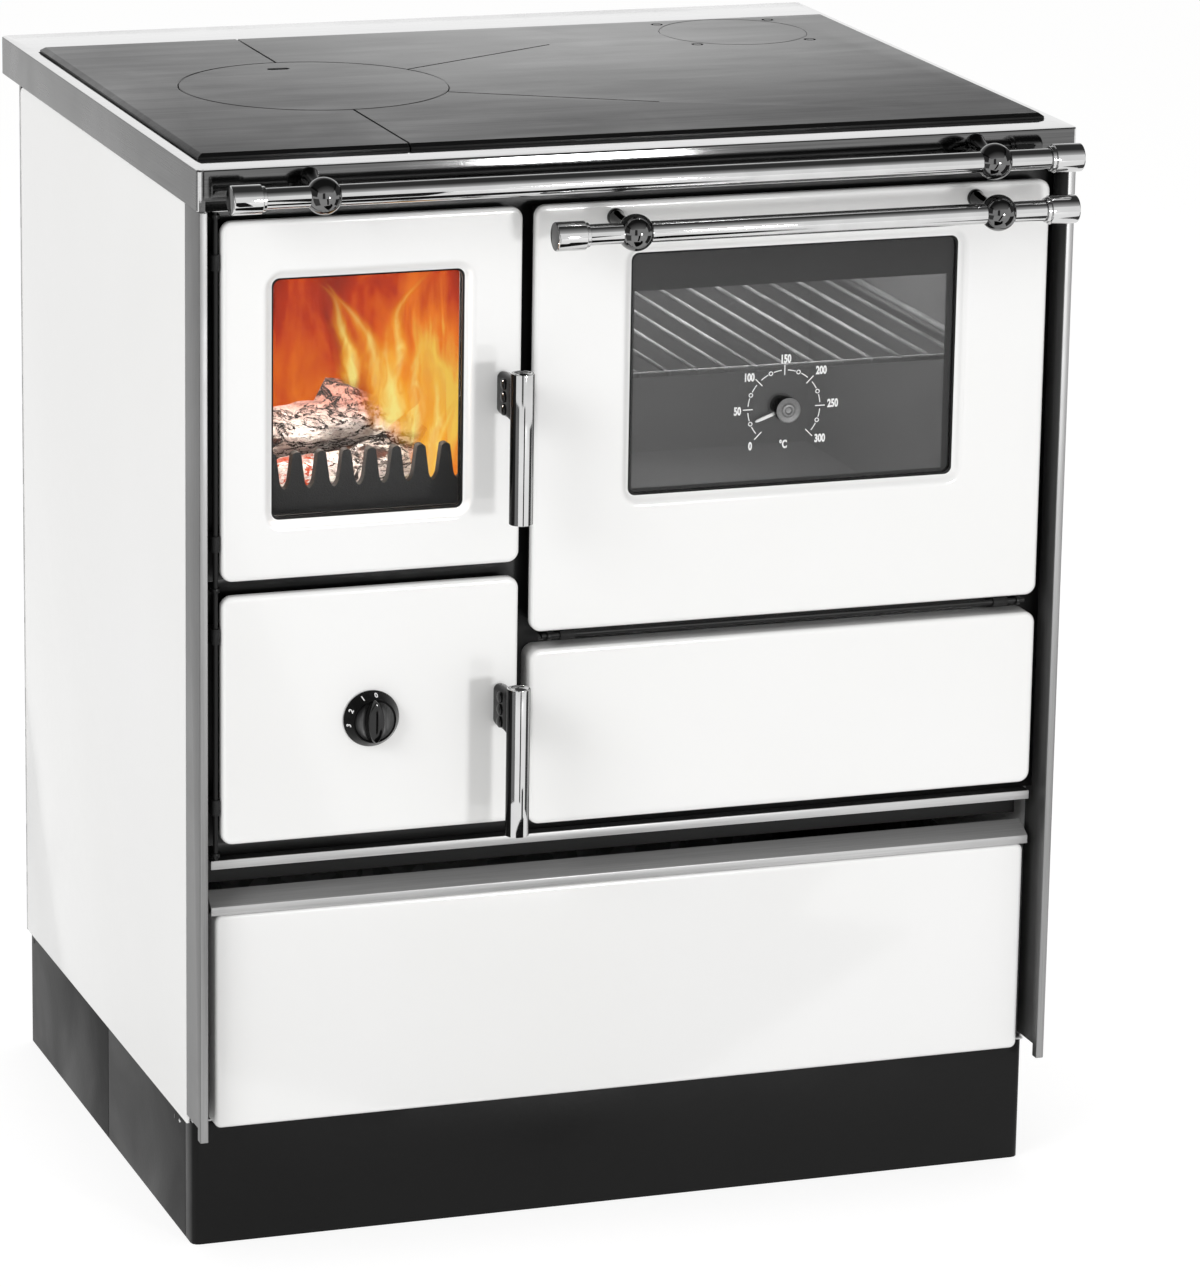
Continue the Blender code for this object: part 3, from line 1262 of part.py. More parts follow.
def fuel_drawer():
    front_z = (PLINTH_HEIGHT + GAP, DRAWER_TOP)
    body = pivot("drawer_slide", spot("d", DRAWER_SETBACK, 0, front_z[0]))
    half = POST_INNER - DRAWER_SIDE_GAP
    front_d = (DRAWER_SETBACK, DRAWER_BACK)
    front = ease_front(block((-half, half), front_d, front_z), front_d[0], GRIP_EDGE)
    piece("drawer_front", front, "white_enamel", body)

    box_half = DRAWER_BOX_WIDTH / 2
    low = PAN_TOP + RUNNER_LEDGE + GAP
    near = DRAWER_BACK + GAP
    box_d = (near, near + DRAWER_BOX_DEPTH)
    outer = block((-box_half, box_half), box_d, (low, low + DRAWER_BOX_HEIGHT))
    box = piece("drawer_box", outer, "galvanised", body)
    inside_x = shrunk((-box_half, box_half), DRAWER_SHEET)
    inside_z = (low + DRAWER_SHEET, low + DRAWER_BOX_HEIGHT + CUT)
    cut(box, block(inside_x, shrunk(box_d, DRAWER_SHEET), inside_z))

    low = DRAWER_TOP + GAP
    near = GRIP_RAIL_SETBACK
    back = near + GRIP_RAIL_DEPTH
    bend = low + GRIP_RAIL_LIP
    top = bend + GRIP_RAIL_RISE
    sheet = GRIP_RAIL_SHEET
    outline = [
        (near, low),
        (near, bend),
        (back, top),
        (back, top - sheet),
        (near + sheet, bend - sheet),
        (near + sheet, low),
    ]
    piece("drawer_grip_rail", prism(outline, "x", -RAIL_HALF, RAIL_HALF), "rail_metal", body)


def firebox_casing():
    x = CASING_X
    inner = CASING_INNER_X
    floor = ASH_OPENING_Z[0]
    d = (BEHIND_FRONT_PLATE, CASING_BACK)
    inside = (d[0] - CUT, d[1] - CASING_WALL)
    casing = piece("firebox_casing", block(x, d, (floor - CASING_WALL, UNDER_FRAME)), "cast_iron")
    shelf_x = shrunk(inner, SHELF_LEDGE)
    shelf_d = (RETAINER_FAR + SHELF_LEDGE / 2, BRICK_BACK - SHELF_LEDGE)
    passage_d = (BRICK_BACK - PASSAGE_LENGTH, BRICK_BACK)
    passage_top = UNDER_FRAME - PASSAGE_DROP
    cut(
        casing,
        block(inner, inside, (floor, SHELF_TOP - CASING_WALL)),
        block(inner, inside, (SHELF_TOP, HEIGHT)),
        block(shelf_x, shelf_d, (SHELF_TOP - CASING_WALL - CUT, SHELF_TOP + CUT)),
        block((inner[1] - CUT, x[1] + CUT), passage_d, (passage_top - PASSAGE_HEIGHT, passage_top)),
    )


def firebricks():
    z = (SHELF_TOP + GAP, PLATE_BOTTOM - BRICK_DROP)
    d = (RETAINER_FAR + GAP, BRICK_BACK - BRICK - GAP)
    left, right = shrunk(CASING_INNER_X, GAP)
    piece("firebrick_left", block((left, left + BRICK), d, z), "firebrick")
    piece("firebrick_right", block((right - BRICK, right), d, z), "firebrick")
    piece("firebrick_rear", block((left, right), (BRICK_BACK - BRICK, BRICK_BACK), z), "firebrick")


def grate():
    """Slotted iron plate between the bricks."""
    x = shrunk(CASING_INNER_X, GAP + BRICK + GRATE_MARGIN)
    d = (RETAINER_FAR + GRATE_MARGIN, BRICK_BACK - BRICK - GRATE_MARGIN)
    z = (SHELF_TOP + GAP, SHELF_TOP + GAP + GRATE_THICKNESS)
    plate = piece("grate", block(x, d, z), "cast_iron")
    slot_x = shrunk(x, GRATE_RIM)
    pitch = (slot_x[1] - slot_x[0] - GRATE_SLOT_WIDTH) / (GRATE_SLOTS - 1)
    starts = [slot_x[0] + pitch * i for i in range(GRATE_SLOTS)]
    slot_d = shrunk(d, GRATE_RIM)
    through = shrunk(z, -CUT)
    slots = [block((start, start + GRATE_SLOT_WIDTH), slot_d, through) for start in starts]
    cut(plate, joined(slots))


def log_retainer():
    """Iron comb that keeps the fuel back from the door."""
    left, right = shrunk(CASING_INNER_X, GAP)
    low = SHELF_TOP + GAP
    valley = low + RETAINER_VALLEY
    tip = low + RETAINER_TIP
    middle = FIRE_X[0] + FIRE_MARGINS[0] + (FIRE_DOOR_WIDTH - FIRE_MARGINS[0] - FIRE_MARGINS[1]) / 2
    first = middle + RETAINER_OFFSET - RETAINER_PITCH * (RETAINER_FINGERS - 1) / 2
    outline = [(right, low), (left, low), (left, valley)]
    for i in range(RETAINER_FINGERS):
        x = first + RETAINER_PITCH * i
        outline += [
            (x - RETAINER_FOOT / 2, valley),
            (x - RETAINER_POINT / 2, tip),
            (x + RETAINER_POINT / 2, tip),
            (x + RETAINER_FOOT / 2, valley),
        ]
    outline.append((right, valley))
    piece("log_retainer", prism(outline, "d", RETAINER_NEAR, RETAINER_FAR), "cast_iron")


def ash_pan():
    middle = (CASING_INNER_X[0] + CASING_INNER_X[1]) / 2
    x = (middle - ASH_PAN_WIDTH / 2, middle + ASH_PAN_WIDTH / 2)
    near = BEHIND_FRONT_PLATE + ASH_PAN_SETBACK
    d = (near, near + ASH_PAN_DEPTH)
    low = ASH_OPENING_Z[0] + GAP
    top = low + ASH_PAN_HEIGHT
    pan = piece("ash_pan", block(x, d, (low, top)), "galvanised")
    wall = ASH_PAN_WALL
    cut(pan, block(shrunk(x, wall), shrunk(d, wall), (low + wall, top + CUT)))
    width, reach, height = ASH_PAN_TAB
    tab_x = (middle - width / 2, middle + width / 2)
    unite(pan, block(tab_x, (near - reach, near + wall / 2), (top - 2 * height, top - height)))


def oven_box():
    inner_x = OVEN_OPENING_X
    inner_z = OVEN_OPENING_Z
    d = (BEHIND_FRONT_PLATE, BEHIND_FRONT_PLATE + OVEN_DEPTH)
    outer = block(shrunk(inner_x, -OVEN_WALL), d, shrunk(inner_z, -OVEN_WALL))
    box = piece("oven_box", outer, "oven_enamel")
    cut(box, block(inner_x, (d[0] - CUT, d[1] - OVEN_WALL), inner_z))
    ledge_top = inner_z[0] + RACK_HEIGHT
    ledge_z = (ledge_top - RACK_LEDGE_HEIGHT, ledge_top)
    ledge_d = (d[0] + OVEN_WALL, d[1] - OVEN_WALL / 2)
    into = OVEN_WALL / 2
    left = (inner_x[0] - into, inner_x[0] + RACK_LEDGE_WIDTH)
    right = (inner_x[1] - RACK_LEDGE_WIDTH, inner_x[1] + into)
    unite(box, block(left, ledge_d, ledge_z), block(right, ledge_d, ledge_z))


def oven_rack():
    """Bar frame on the oven's ledges, with wires from front to back."""
    inner_x = OVEN_OPENING_X
    d = (BEHIND_FRONT_PLATE, BEHIND_FRONT_PLATE + OVEN_DEPTH)
    low = OVEN_OPENING_Z[0] + RACK_HEIGHT + GAP
    rack_x = shrunk(inner_x, RACK_CLEARANCE)
    rack_d = (d[0] + RACK_SETBACK, d[1] - OVEN_WALL - RACK_CLEARANCE)
    rack = piece("oven_rack", block(rack_x, rack_d, (low, low + RACK_BAR)), "chrome")
    inside_x = shrunk(rack_x, RACK_BAR)
    cut(rack, block(inside_x, shrunk(rack_d, RACK_BAR), (low - CUT, low + RACK_BAR + CUT)))
    pitch = (inside_x[1] - inside_x[0]) / (RACK_WIRES + 1)
    wire_d = shrunk(rack_d, RACK_BAR / 2)
    wire_z = low + RACK_BAR / 2
    centres = [(inside_x[0] + pitch * (i + 1), wire_z) for i in range(RACK_WIRES)]
    unite(rack, joined([rod("d", centre, *wire_d, RACK_WIRE_RADIUS, WIRE_SIDES) for centre in centres]))


def main():
    clear_scene()
    plinth()
    base_pan()
    body_sheets()
    posts()
    hob_frame()
    hob_plates()
    hob_lid()
    flue_collar()
    front_plate()
    hinge_pins()
    fire_door()
    ash_door()
    oven_door()
    lower_panel()
    upper_rail()
    fuel_drawer()
    towel_rail()
    firebox_casing()
    firebricks()
    grate()
    log_retainer()
    ash_pan()
    oven_box()
    oven_rack()


main()
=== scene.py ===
"""Looks of the coal cookstove: white enamel, a steel hob, chrome rails and a fire behind glass.

Lengths are in metres. X runs from left to right, Y from front to back and Z up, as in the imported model.
"""
import json
import math
import random

import bmesh
import bpy
from mathutils import Euler, Matrix, Vector, noise

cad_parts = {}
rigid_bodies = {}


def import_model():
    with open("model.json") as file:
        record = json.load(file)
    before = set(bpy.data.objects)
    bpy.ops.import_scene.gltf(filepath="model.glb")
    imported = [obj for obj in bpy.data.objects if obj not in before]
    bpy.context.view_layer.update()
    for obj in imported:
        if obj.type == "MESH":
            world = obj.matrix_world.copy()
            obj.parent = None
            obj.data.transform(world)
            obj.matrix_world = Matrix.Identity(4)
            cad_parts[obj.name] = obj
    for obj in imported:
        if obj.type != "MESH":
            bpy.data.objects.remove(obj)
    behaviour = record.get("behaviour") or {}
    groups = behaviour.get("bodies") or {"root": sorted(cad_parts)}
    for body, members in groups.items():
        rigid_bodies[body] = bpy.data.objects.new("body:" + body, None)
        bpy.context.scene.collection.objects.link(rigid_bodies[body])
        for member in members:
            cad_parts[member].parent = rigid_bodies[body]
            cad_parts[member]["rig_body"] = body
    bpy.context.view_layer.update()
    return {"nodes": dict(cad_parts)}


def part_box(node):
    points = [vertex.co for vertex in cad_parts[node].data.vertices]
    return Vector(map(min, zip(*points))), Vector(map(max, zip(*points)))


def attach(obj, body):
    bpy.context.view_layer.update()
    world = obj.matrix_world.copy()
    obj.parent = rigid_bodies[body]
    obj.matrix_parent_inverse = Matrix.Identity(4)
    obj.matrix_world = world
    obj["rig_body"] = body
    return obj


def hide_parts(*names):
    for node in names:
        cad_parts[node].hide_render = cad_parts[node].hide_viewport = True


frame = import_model()
nodes = frame["nodes"]
scene = bpy.context.scene

SHARP = math.radians(32)  # edges that turn further than this stay crisp
EASED = math.radians(28)  # edges of a CAD piece that turn further than this are eased
GLASS_FACE = -0.2602  # front of the door glasses

# photograph's camera, fitted to the stove's corners in the 1200 x 1287 frame
CAMERA_PLACE = Vector((-1.53820, -4.53785, 1.71196))
CAMERA_AZIMUTH = math.radians(19.44398)
CAMERA_TILT = math.radians(15.37378)
CAMERA_ROLL = math.radians(0.94373)
CAMERA_FOCAL_PIXELS = 6145.136
PICTURE_HEIGHT = 1287


def linear(red, green, blue):
    """Linear colour of an sRGB one given from 0 to 255."""
    channels = []
    for value in (red, green, blue):
        value /= 255
        channels.append(value / 12.92 if value <= 0.04045 else ((value + 0.055) / 1.055) ** 2.4)
    return (*channels, 1.0)


def grey(value):
    return linear(value, value, value)


# node helpers


def add_node(tree, kind, inputs=None, **settings):
    """New node with its settings made first, then its inputs linked or filled."""
    made = tree.nodes.new(kind)
    for name, value in settings.items():
        setattr(made, name, value)
    for key, value in (inputs or {}).items():
        if isinstance(value, bpy.types.NodeSocket):
            tree.links.new(value, made.inputs[key])
        else:
            made.inputs[key].default_value = value
    return made


def maths(tree, operation, first, second=0.0):
    return add_node(tree, "ShaderNodeMath", {0: first, 1: second}, operation=operation).outputs[0]


def times(tree, first, second):
    return maths(tree, "MULTIPLY", first, second)


def plus(tree, first, second):
    return maths(tree, "ADD", first, second)


def minus(tree, first, second):
    return maths(tree, "SUBTRACT", first, second)


def span(tree, value, low, high, out_low=0.0, out_high=1.0):
    """Value carried from one range to another, held at the ends."""
    inputs = {"Value": value, "From Min": low, "From Max": high, "To Min": out_low, "To Max": out_high}
    return add_node(tree, "ShaderNodeMapRange", inputs).outputs["Result"]


def mixed(tree, factor, first, second):
    return add_node(tree, "ShaderNodeMix", {0: factor, 6: first, 7: second}, data_type="RGBA").outputs[2]


def vectors(tree, operation, first, second):
    return add_node(tree, "ShaderNodeVectorMath", {0: first, 1: second}, operation=operation).outputs


def stretched(tree, vector, factors):
    return vectors(tree, "MULTIPLY", vector, factors)[0]


def distance_to(tree, vector, spot):
    return vectors(tree, "DISTANCE", vector, spot)["Value"]


def axes_of(tree, vector):
    return add_node(tree, "ShaderNodeSeparateXYZ", {0: vector}).outputs


def clouds(tree, vector, scale, detail=2.0, roughness=0.5, distortion=0.0):
    inputs = {
        "Vector": vector,
        "Scale": scale,
        "Detail": detail,
        "Roughness": roughness,
        "Distortion": distortion,
    }
    return add_node(tree, "ShaderNodeTexNoise", inputs).outputs[0]


def new_group(name, inputs, outputs):
    """Empty shader group with its sockets; inputs are (name, kind, value)."""
    tree = bpy.data.node_groups.new(name, "ShaderNodeTree")
    for label, kind, value in inputs:
        socket = tree.interface.new_socket(label, in_out="INPUT", socket_type=f"NodeSocket{kind}")
        if value is not None:
            socket.default_value = value
    for label, kind in outputs:
        tree.interface.new_socket(label, in_out="OUTPUT", socket_type=f"NodeSocket{kind}")
    return tree, tree.nodes.new("NodeGroupInput").outputs, tree.nodes.new("NodeGroupOutput").inputs


def make_grain():
    """Lines of a rolled or brushed metal; Stretch is small along the lines."""
    inputs = [("Vector", "Vector", None), ("Stretch", "Vector", (4.0, 700.0, 700.0))]
    tree, given, out = new_group("rolled grain", inputs, [("Grain", "Float")])
    lines = clouds(tree, stretched(tree, given["Vector"], given["Stretch"]), 1.0, 3.0, 0.6)
    tree.links.new(span(tree, lines, 0.3, 0.7), out["Grain"])
    return tree


def make_handling():
    """Roughness that wanders between two values, as on a wiped surface."""
    inputs = [
        ("Vector", "Vector", None),
        ("Size", "Float", 9.0),
        ("Low", "Float", 0.1),
        ("High", "Float", 0.2),
    ]
    tree, given, out = new_group("handling marks", inputs, [("Roughness", "Float")])
    broad = clouds(tree, given["Vector"], given["Size"], 4.0, 0.55, 0.6)
    tree.links.new(span(tree, broad, 0.35, 0.65, given["Low"], given["High"]), out["Roughness"])
    return tree


def make_skin():
    """Gentle waviness of fired enamel or paint, and a slow change of tone."""
    inputs = [("Vector", "Vector", None), ("Size", "Float", 120.0)]
    tree, given, out = new_group("enamel skin", inputs, [("Height", "Float"), ("Tone", "Float")])
    tree.links.new(clouds(tree, given["Vector"], given["Size"], 1.5), out["Height"])
    tree.links.new(span(tree, clouds(tree, given["Vector"], 3.0, 2.0), 0.3, 0.7), out["Tone"])
    return tree


def make_casting():
    """Sandy skin of cast iron or fired brick, with its pits."""
    inputs = [("Vector", "Vector", None), ("Size", "Float", 700.0), ("Pits", "Float", 0.35)]
    tree, given, out = new_group("cast skin", inputs, [("Height", "Float"), ("Speckle", "Float")])
    fine = clouds(tree, given["Vector"], given["Size"], 3.0, 0.7)
    broad = clouds(tree, given["Vector"], times(tree, given["Size"], 0.12), 2.0)
    pitted = times(tree, span(tree, broad, 0.55, 0.75), given["Pits"])
    tree.links.new(minus(tree, fine, pitted), out["Height"])
    tree.links.new(span(tree, fine, 0.35, 0.7), out["Speckle"])
    return tree


def make_dust():
    """Mask of dust or ash that settles on what faces up."""
    inputs = [("Vector", "Vector", None), ("Size", "Float", 30.0), ("Amount", "Float", 0.5)]
    tree, given, out = new_group("settled dust", inputs, [("Dust", "Float")])
    normal = add_node(tree, "ShaderNodeNewGeometry").outputs["Normal"]
    upward = axes_of(tree, normal)["Z"]
    patches = span(tree, clouds(tree, given["Vector"], given["Size"], 5.0, 0.6), 0.4, 0.65)
    settled = times(tree, span(tree, upward, 0.3, 0.95), patches)
    tree.links.new(times(tree, settled, given["Amount"]), out["Dust"])
    return tree


GRAIN = make_grain()
HANDLING = make_handling()
SKIN = make_skin()
CASTING = make_casting()
DUST = make_dust()


class Finish:
    """A material under construction: its tree, its shader and its Object coordinates."""

    def __init__(self, name, colour, roughness, metallic=0.0, **plain):
        self.material = bpy.data.materials.new(name)
        self.material.use_nodes = True
        self.tree = self.material.node_tree
        self.shader = self.tree.nodes["Principled BSDF"]
        self.place = add_node(self.tree, "ShaderNodeTexCoord").outputs["Object"]
        self.set("Base Color", colour)
        self.set("Roughness", roughness)
        self.set("Metallic", metallic)
        for socket, value in plain.items():
            self.set(socket.replace("_", " ").title().replace("Ior", "IOR"), value)

    def set(self, socket, value):
        if isinstance(value, bpy.types.NodeSocket):
            self.tree.links.new(value, self.shader.inputs[socket])
        else:
            self.shader.inputs[socket].default_value = value

    def mix(self, socket, factor, first, second):
        self.set(socket, mixed(self.tree, factor, first, second))

    def use(self, group, **inputs):
        filled = {"Vector": self.place}
        filled.update({name.title(): value for name, value in inputs.items()})
        return add_node(self.tree, "ShaderNodeGroup", filled, node_tree=group).outputs

    def bump(self, height, strength, distance):
        inputs = {"Strength": strength, "Distance": distance, "Height": height}
        self.set("Normal", add_node(self.tree, "ShaderNodeBump", inputs).outputs["Normal"])

    def handled(self, size, low, high):
        self.set("Roughness", self.use(HANDLING, size=size, low=low, high=high)["Roughness"])


def white_enamel():
    made = Finish("fired white enamel", grey(242), 0.1, coat_weight=0.3, coat_roughness=0.04)
    skin = made.use(SKIN, size=90.0)
    made.mix("Base Color", skin["Tone"], linear(241, 241, 240), linear(244, 244, 244))
    made.handled(6.0, 0.08, 0.15)
    made.bump(skin["Height"], 0.05, 0.0006)
    return made.material


def dark_enamel(name, dark, light, low, high, sheen=0.32):
    """Dark enamel or paint between two grey tones and two roughnesses."""
    made = Finish(name, grey(dark), low, specular_ior_level=sheen)
    skin = made.use(SKIN, size=260.0)
    dust = made.use(DUST, size=18.0, amount=0.05)["Dust"]
    colour = mixed(made.tree, skin["Tone"], grey(dark), grey(light))
    made.mix("Base Color", dust, colour, grey(120))
    made.handled(8.0, low, high)
    made.bump(skin["Height"], 0.12, 0.0006)
    return made.material


def brushed_metal(name, dark, light, low, high, stretch, metallic=1.0, strength=0.06):
    """Metal with a grain, between two grey tones and two roughnesses."""
    made = Finish(name, grey(dark), low, metallic)
    grain = made.use(GRAIN, stretch=stretch)["Grain"]
    made.mix("Base Color", grain, grey(dark), grey(light))
    marks = made.use(HANDLING, size=7.0, low=low, high=high)["Roughness"]
    lined = times(made.tree, grain, (high - low) * 0.5)
    made.set("Roughness", plus(made.tree, marks, lined))
    made.bump(grain, strength, 0.0003)
    return made.material


HOB_PAINTED_HIGHLIGHT = (0.09, 0.19, 0.8545)  # middle of the painted highlight on the hob's steel


def hob_steel():
    """Rolled steel plate, cloudy, with a broad painted highlight: palest round one spot and darker away from
    it.
    """
    made = Finish("rolled hob steel", grey(118), 0.36, 1.0)
    tree = made.tree
    grain = made.use(GRAIN, stretch=(5.0, 420.0, 420.0))["Grain"]
    clouded = span(tree, clouds(tree, made.place, 5.5, 4.0, 0.6, 0.8), 0.3, 0.7)
    streaks = clouds(tree, stretched(tree, made.place, (2.2, 16.0, 16.0)), 3.0, 5.0, 0.65, 0.4)
    both = times(tree, plus(tree, clouded, span(tree, streaks, 0.3, 0.7)), 0.5)
    colour = mixed(tree, both, linear(74, 74, 75), linear(84, 84, 84))
    ragged = times(tree, minus(tree, clouded, 0.5), 0.08)
    # painted highlight: the steel is painted paler towards one spot
    away = plus(tree, distance_to(tree, made.place, HOB_PAINTED_HIGHLIGHT), ragged)
    colour = mixed(tree, span(tree, away, 0.36, 0.10), colour, grey(178))
    made.mix("Base Color", times(tree, grain, 0.22), colour, grey(140))
    made.set("Roughness", span(tree, both, 0.0, 1.0, 0.44, 0.32))
    made.bump(grain, 0.08, 0.0003)
    return made.material


def cast_iron(name, tone, size=700.0, strength=0.35, dust_amount=0.15):
    made = Finish(name, grey(tone), 0.62, specular_ior_level=0.4)
    skin = made.use(CASTING, size=size)
    dust = made.use(DUST, size=24.0, amount=dust_amount)["Dust"]
    colour = mixed(made.tree, skin["Speckle"], grey(tone * 0.8), grey(tone * 1.35))
    made.mix("Base Color", dust, colour, grey(110))
    made.set("Roughness", span(made.tree, skin["Speckle"], 0.0, 1.0, 0.7, 0.5))
    made.bump(skin["Height"], strength, 0.0008)
    return made.material


def galvanised():
    """Zinc coat with its crystal flakes."""
    made = Finish("galvanised sheet", grey(176), 0.4, 1.0)
    flakes = add_node(made.tree, "ShaderNodeTexVoronoi", {"Vector": made.place, "Scale": 90.0})
    tone = add_node(made.tree, "ShaderNodeSeparateColor", {0: flakes.outputs["Color"]}).outputs[0]
    made.mix("Base Color", tone, grey(168), grey(198))
    made.set("Roughness", span(made.tree, tone, 0.0, 1.0, 0.46, 0.30))
    made.bump(made.use(SKIN, size=40.0)["Height"], 0.08, 0.001)
    return made.material


def oven_enamel():
    """Speckled grey enamel of the oven's lining."""
    made = Finish("speckled oven enamel", grey(70), 0.28)
    specks = clouds(made.tree, made.place, 900.0, 1.0)
    skin = made.use(SKIN, size=70.0)
    base = mixed(made.tree, skin["Tone"], grey(112), grey(124))
    made.mix("Base Color", span(made.tree, specks, 0.66, 0.70), base, grey(170))
    made.handled(9.0, 0.30, 0.42)
    made.bump(skin["Height"], 0.05, 0.0006)
    return made.material


def firebrick():
    """Fired brick, sooty in patches."""
    made = Finish("fired brick", grey(150), 0.85)
    skin = made.use(CASTING, size=260.0, pits=0.6)
    soot = span(made.tree, clouds(made.tree, made.place, 16.0, 5.0, 0.6), 0.38, 0.7)
    colour = mixed(made.tree, skin["Speckle"], linear(170, 138, 106), linear(196, 166, 130))
    made.mix("Base Color", soot, colour, linear(84, 58, 44))
    made.bump(skin["Height"], 0.5, 0.0015)
    return made.material


def pane(name, tint, alpha):
    """Flat glass: a plain sheet that lets part of what is behind it through."""
    made = Finish(name, tint, 0.04, specular_ior_level=0.5)
    smears = clouds(made.tree, made.place, 11.0, 4.0, 0.6, 1.0)
    made.set("Alpha", span(made.tree, smears, 0.3, 0.7, alpha - 0.02, alpha + 0.02))
    made.set("Roughness", span(made.tree, smears, 0.3, 0.7, 0.03, 0.08))
    return made.material


def moulded_black(name, tones, size, sheen, marks, strength):
    """Black plastic; marks are the wear's size and its two roughnesses."""
    made = Finish(name, grey(tones[0]), marks[1], specular_ior_level=sheen)
    skin = made.use(SKIN, size=size)
    made.mix("Base Color", skin["Tone"], grey(tones[0]), grey(tones[1]))
    made.handled(*marks)
    made.bump(skin["Height"], strength, 0.0003)
    return made.material


def chrome(name="polished chrome", tone=210):
    made = Finish(name, grey(tone), 0.05, 1.0)
    cloudy = span(made.tree, clouds(made.tree, made.place, 40.0, 3.0), 0.3, 0.7)
    made.mix("Base Color", cloudy, grey(tone - 6), grey(tone + 4))
    made.handled(55.0, 0.03, 0.06)
    made.bump(made.use(SKIN, size=300.0)["Height"], 0.003, 0.0003)
    return made.material


def printed_white():
    made = Finish("printed white", grey(235), 0.5)
    worn = clouds(made.tree, made.place, 900.0, 3.0, 0.6)
    made.mix("Base Color", span(made.tree, worn, 0.5, 0.75), grey(236), grey(205))
    return made.material


EMBER_SPOT = (-0.252, -0.185, 0.594)  # where the front log glows
GLOW_FLATTEN = (0.5, 0.75, 1.0)  # the painted glow's brightest part spreads more across than up
GLOW_CORE = (-0.06375, -0.120, 0.652)  # its middle, in those flattened lengths


def burnt_log():
    """Charred wood under flaking white ash, with painted reddish flame light on its top and glowing low on
    the left.
    """
    made = Finish("burnt wood", grey(60), 0.9)
    tree = made.tree
    warp = clouds(tree, made.place, 45.0, 4.0, 0.6)
    sideways = times(tree, warp, 0.03)
    shift = add_node(tree, "ShaderNodeCombineXYZ", {"Y": sideways, "Z": warp}).outputs[0]
    shift = stretched(tree, shift, (1.0, 1.0, 0.012))
    along = stretched(tree, vectors(tree, "ADD", made.place, shift)[0], (0.55, 1.0, 1.5))
    veins = maths(tree, "ABSOLUTE", minus(tree, clouds(tree, along, 36.0, 6.0, 0.66, 1.0), 0.5))
    fine = maths(tree, "ABSOLUTE", minus(tree, clouds(tree, along, 95.0, 5.0, 0.6, 0.8), 0.5))
    hairline = span(tree, fine, 0.004, 0.018, 0.15, 1.0)
    crack = times(tree, span(tree, veins, 0.014, 0.030), hairline)
    char = span(tree, clouds(tree, along, 34.0, 5.0, 0.65), 0.40, 0.47)
    ash = span(tree, clouds(tree, along, 120.0, 5.0, 0.7), 0.36, 0.60)
    white = mixed(tree, ash, linear(214, 200, 196), linear(252, 250, 248))
    # painted flame light: the log's top is tinted reddish
    upper = times(tree, span(tree, axes_of(tree, made.place)["Z"], 0.622, 0.640), 0.85)
    skin = mixed(tree, upper, white, linear(138, 72, 52))
    burnt = mixed(tree, ash, linear(26, 15, 12), linear(96, 56, 44))
    skin = mixed(tree, char, burnt, skin)
    made.mix("Base Color", crack, linear(18, 11, 10), skin)
    near = span(tree, distance_to(tree, made.place, EMBER_SPOT), 0.034, 0.010)
    open_wood = minus(tree, 1.0, times(tree, span(tree, char, 0.0, 0.4), crack))
    glow = times(tree, open_wood, near)
    made.mix("Emission Color", glow, (0, 0, 0, 1), linear(255, 84, 20))
    made.set("Emission Strength", 1.1)
    made.bump(plus(tree, times(tree, crack, char), ash), 0.8, 0.0025)
    return made.material


def embers():
    made = Finish("glowing embers", linear(60, 30, 22), 0.9)
    tree = made.tree
    heat = span(tree, clouds(tree, made.place, 70.0, 5.0, 0.65), 0.40, 0.68)
    made.mix("Base Color", heat, linear(150, 120, 110), linear(60, 24, 14))
    made.mix("Emission Color", heat, linear(70, 8, 5), linear(255, 104, 26))
    made.set("Emission Strength", 0.8)
    made.bump(heat, 0.6, 0.002)
    return made.material


def flame():
    """Thin burning gas: bright at the root, redder and thinner towards the tip and the edges."""
    made = Finish("flame", (0, 0, 0, 1), 1.0, specular_ior_level=0.0)
    tree = made.tree
    tip = add_node(tree, "ShaderNodeAttribute", attribute_name="rise").outputs["Fac"]
    side = add_node(tree, "ShaderNodeAttribute", attribute_name="edge").outputs["Fac"]
    licks = clouds(tree, stretched(tree, made.place, (1.0, 1.0, 0.30)), 95.0, 4.0, 0.6, 1.2)
    wander = times(tree, minus(tree, licks, 0.5), 0.9)
    reach = plus(tree, side, wander)
    core = span(tree, plus(tree, reach, times(tree, tip, 0.5)), 0.1, 0.95)
    warm = mixed(tree, span(tree, core, 0.0, 0.5), linear(255, 234, 132), linear(255, 176, 44))
    warm = mixed(tree, span(tree, core, 0.45, 1.0), warm, linear(240, 98, 20))
    made.set("Emission Color", warm)
    made.set("Emission Strength", 1.1)
    across = span(tree, reach, 0.0, 0.95, 1.0, 0.0)
    upward = span(tree, tip, 0.30, 1.0, 1.0, 0.0)
    rooted = span(tree, tip, 0.0, 0.16)
    body = times(tree, times(tree, across, upward), rooted)
    made.set("Alpha", maths(tree, "MINIMUM", times(tree, body, 1.2), 0.96))
    return made.material


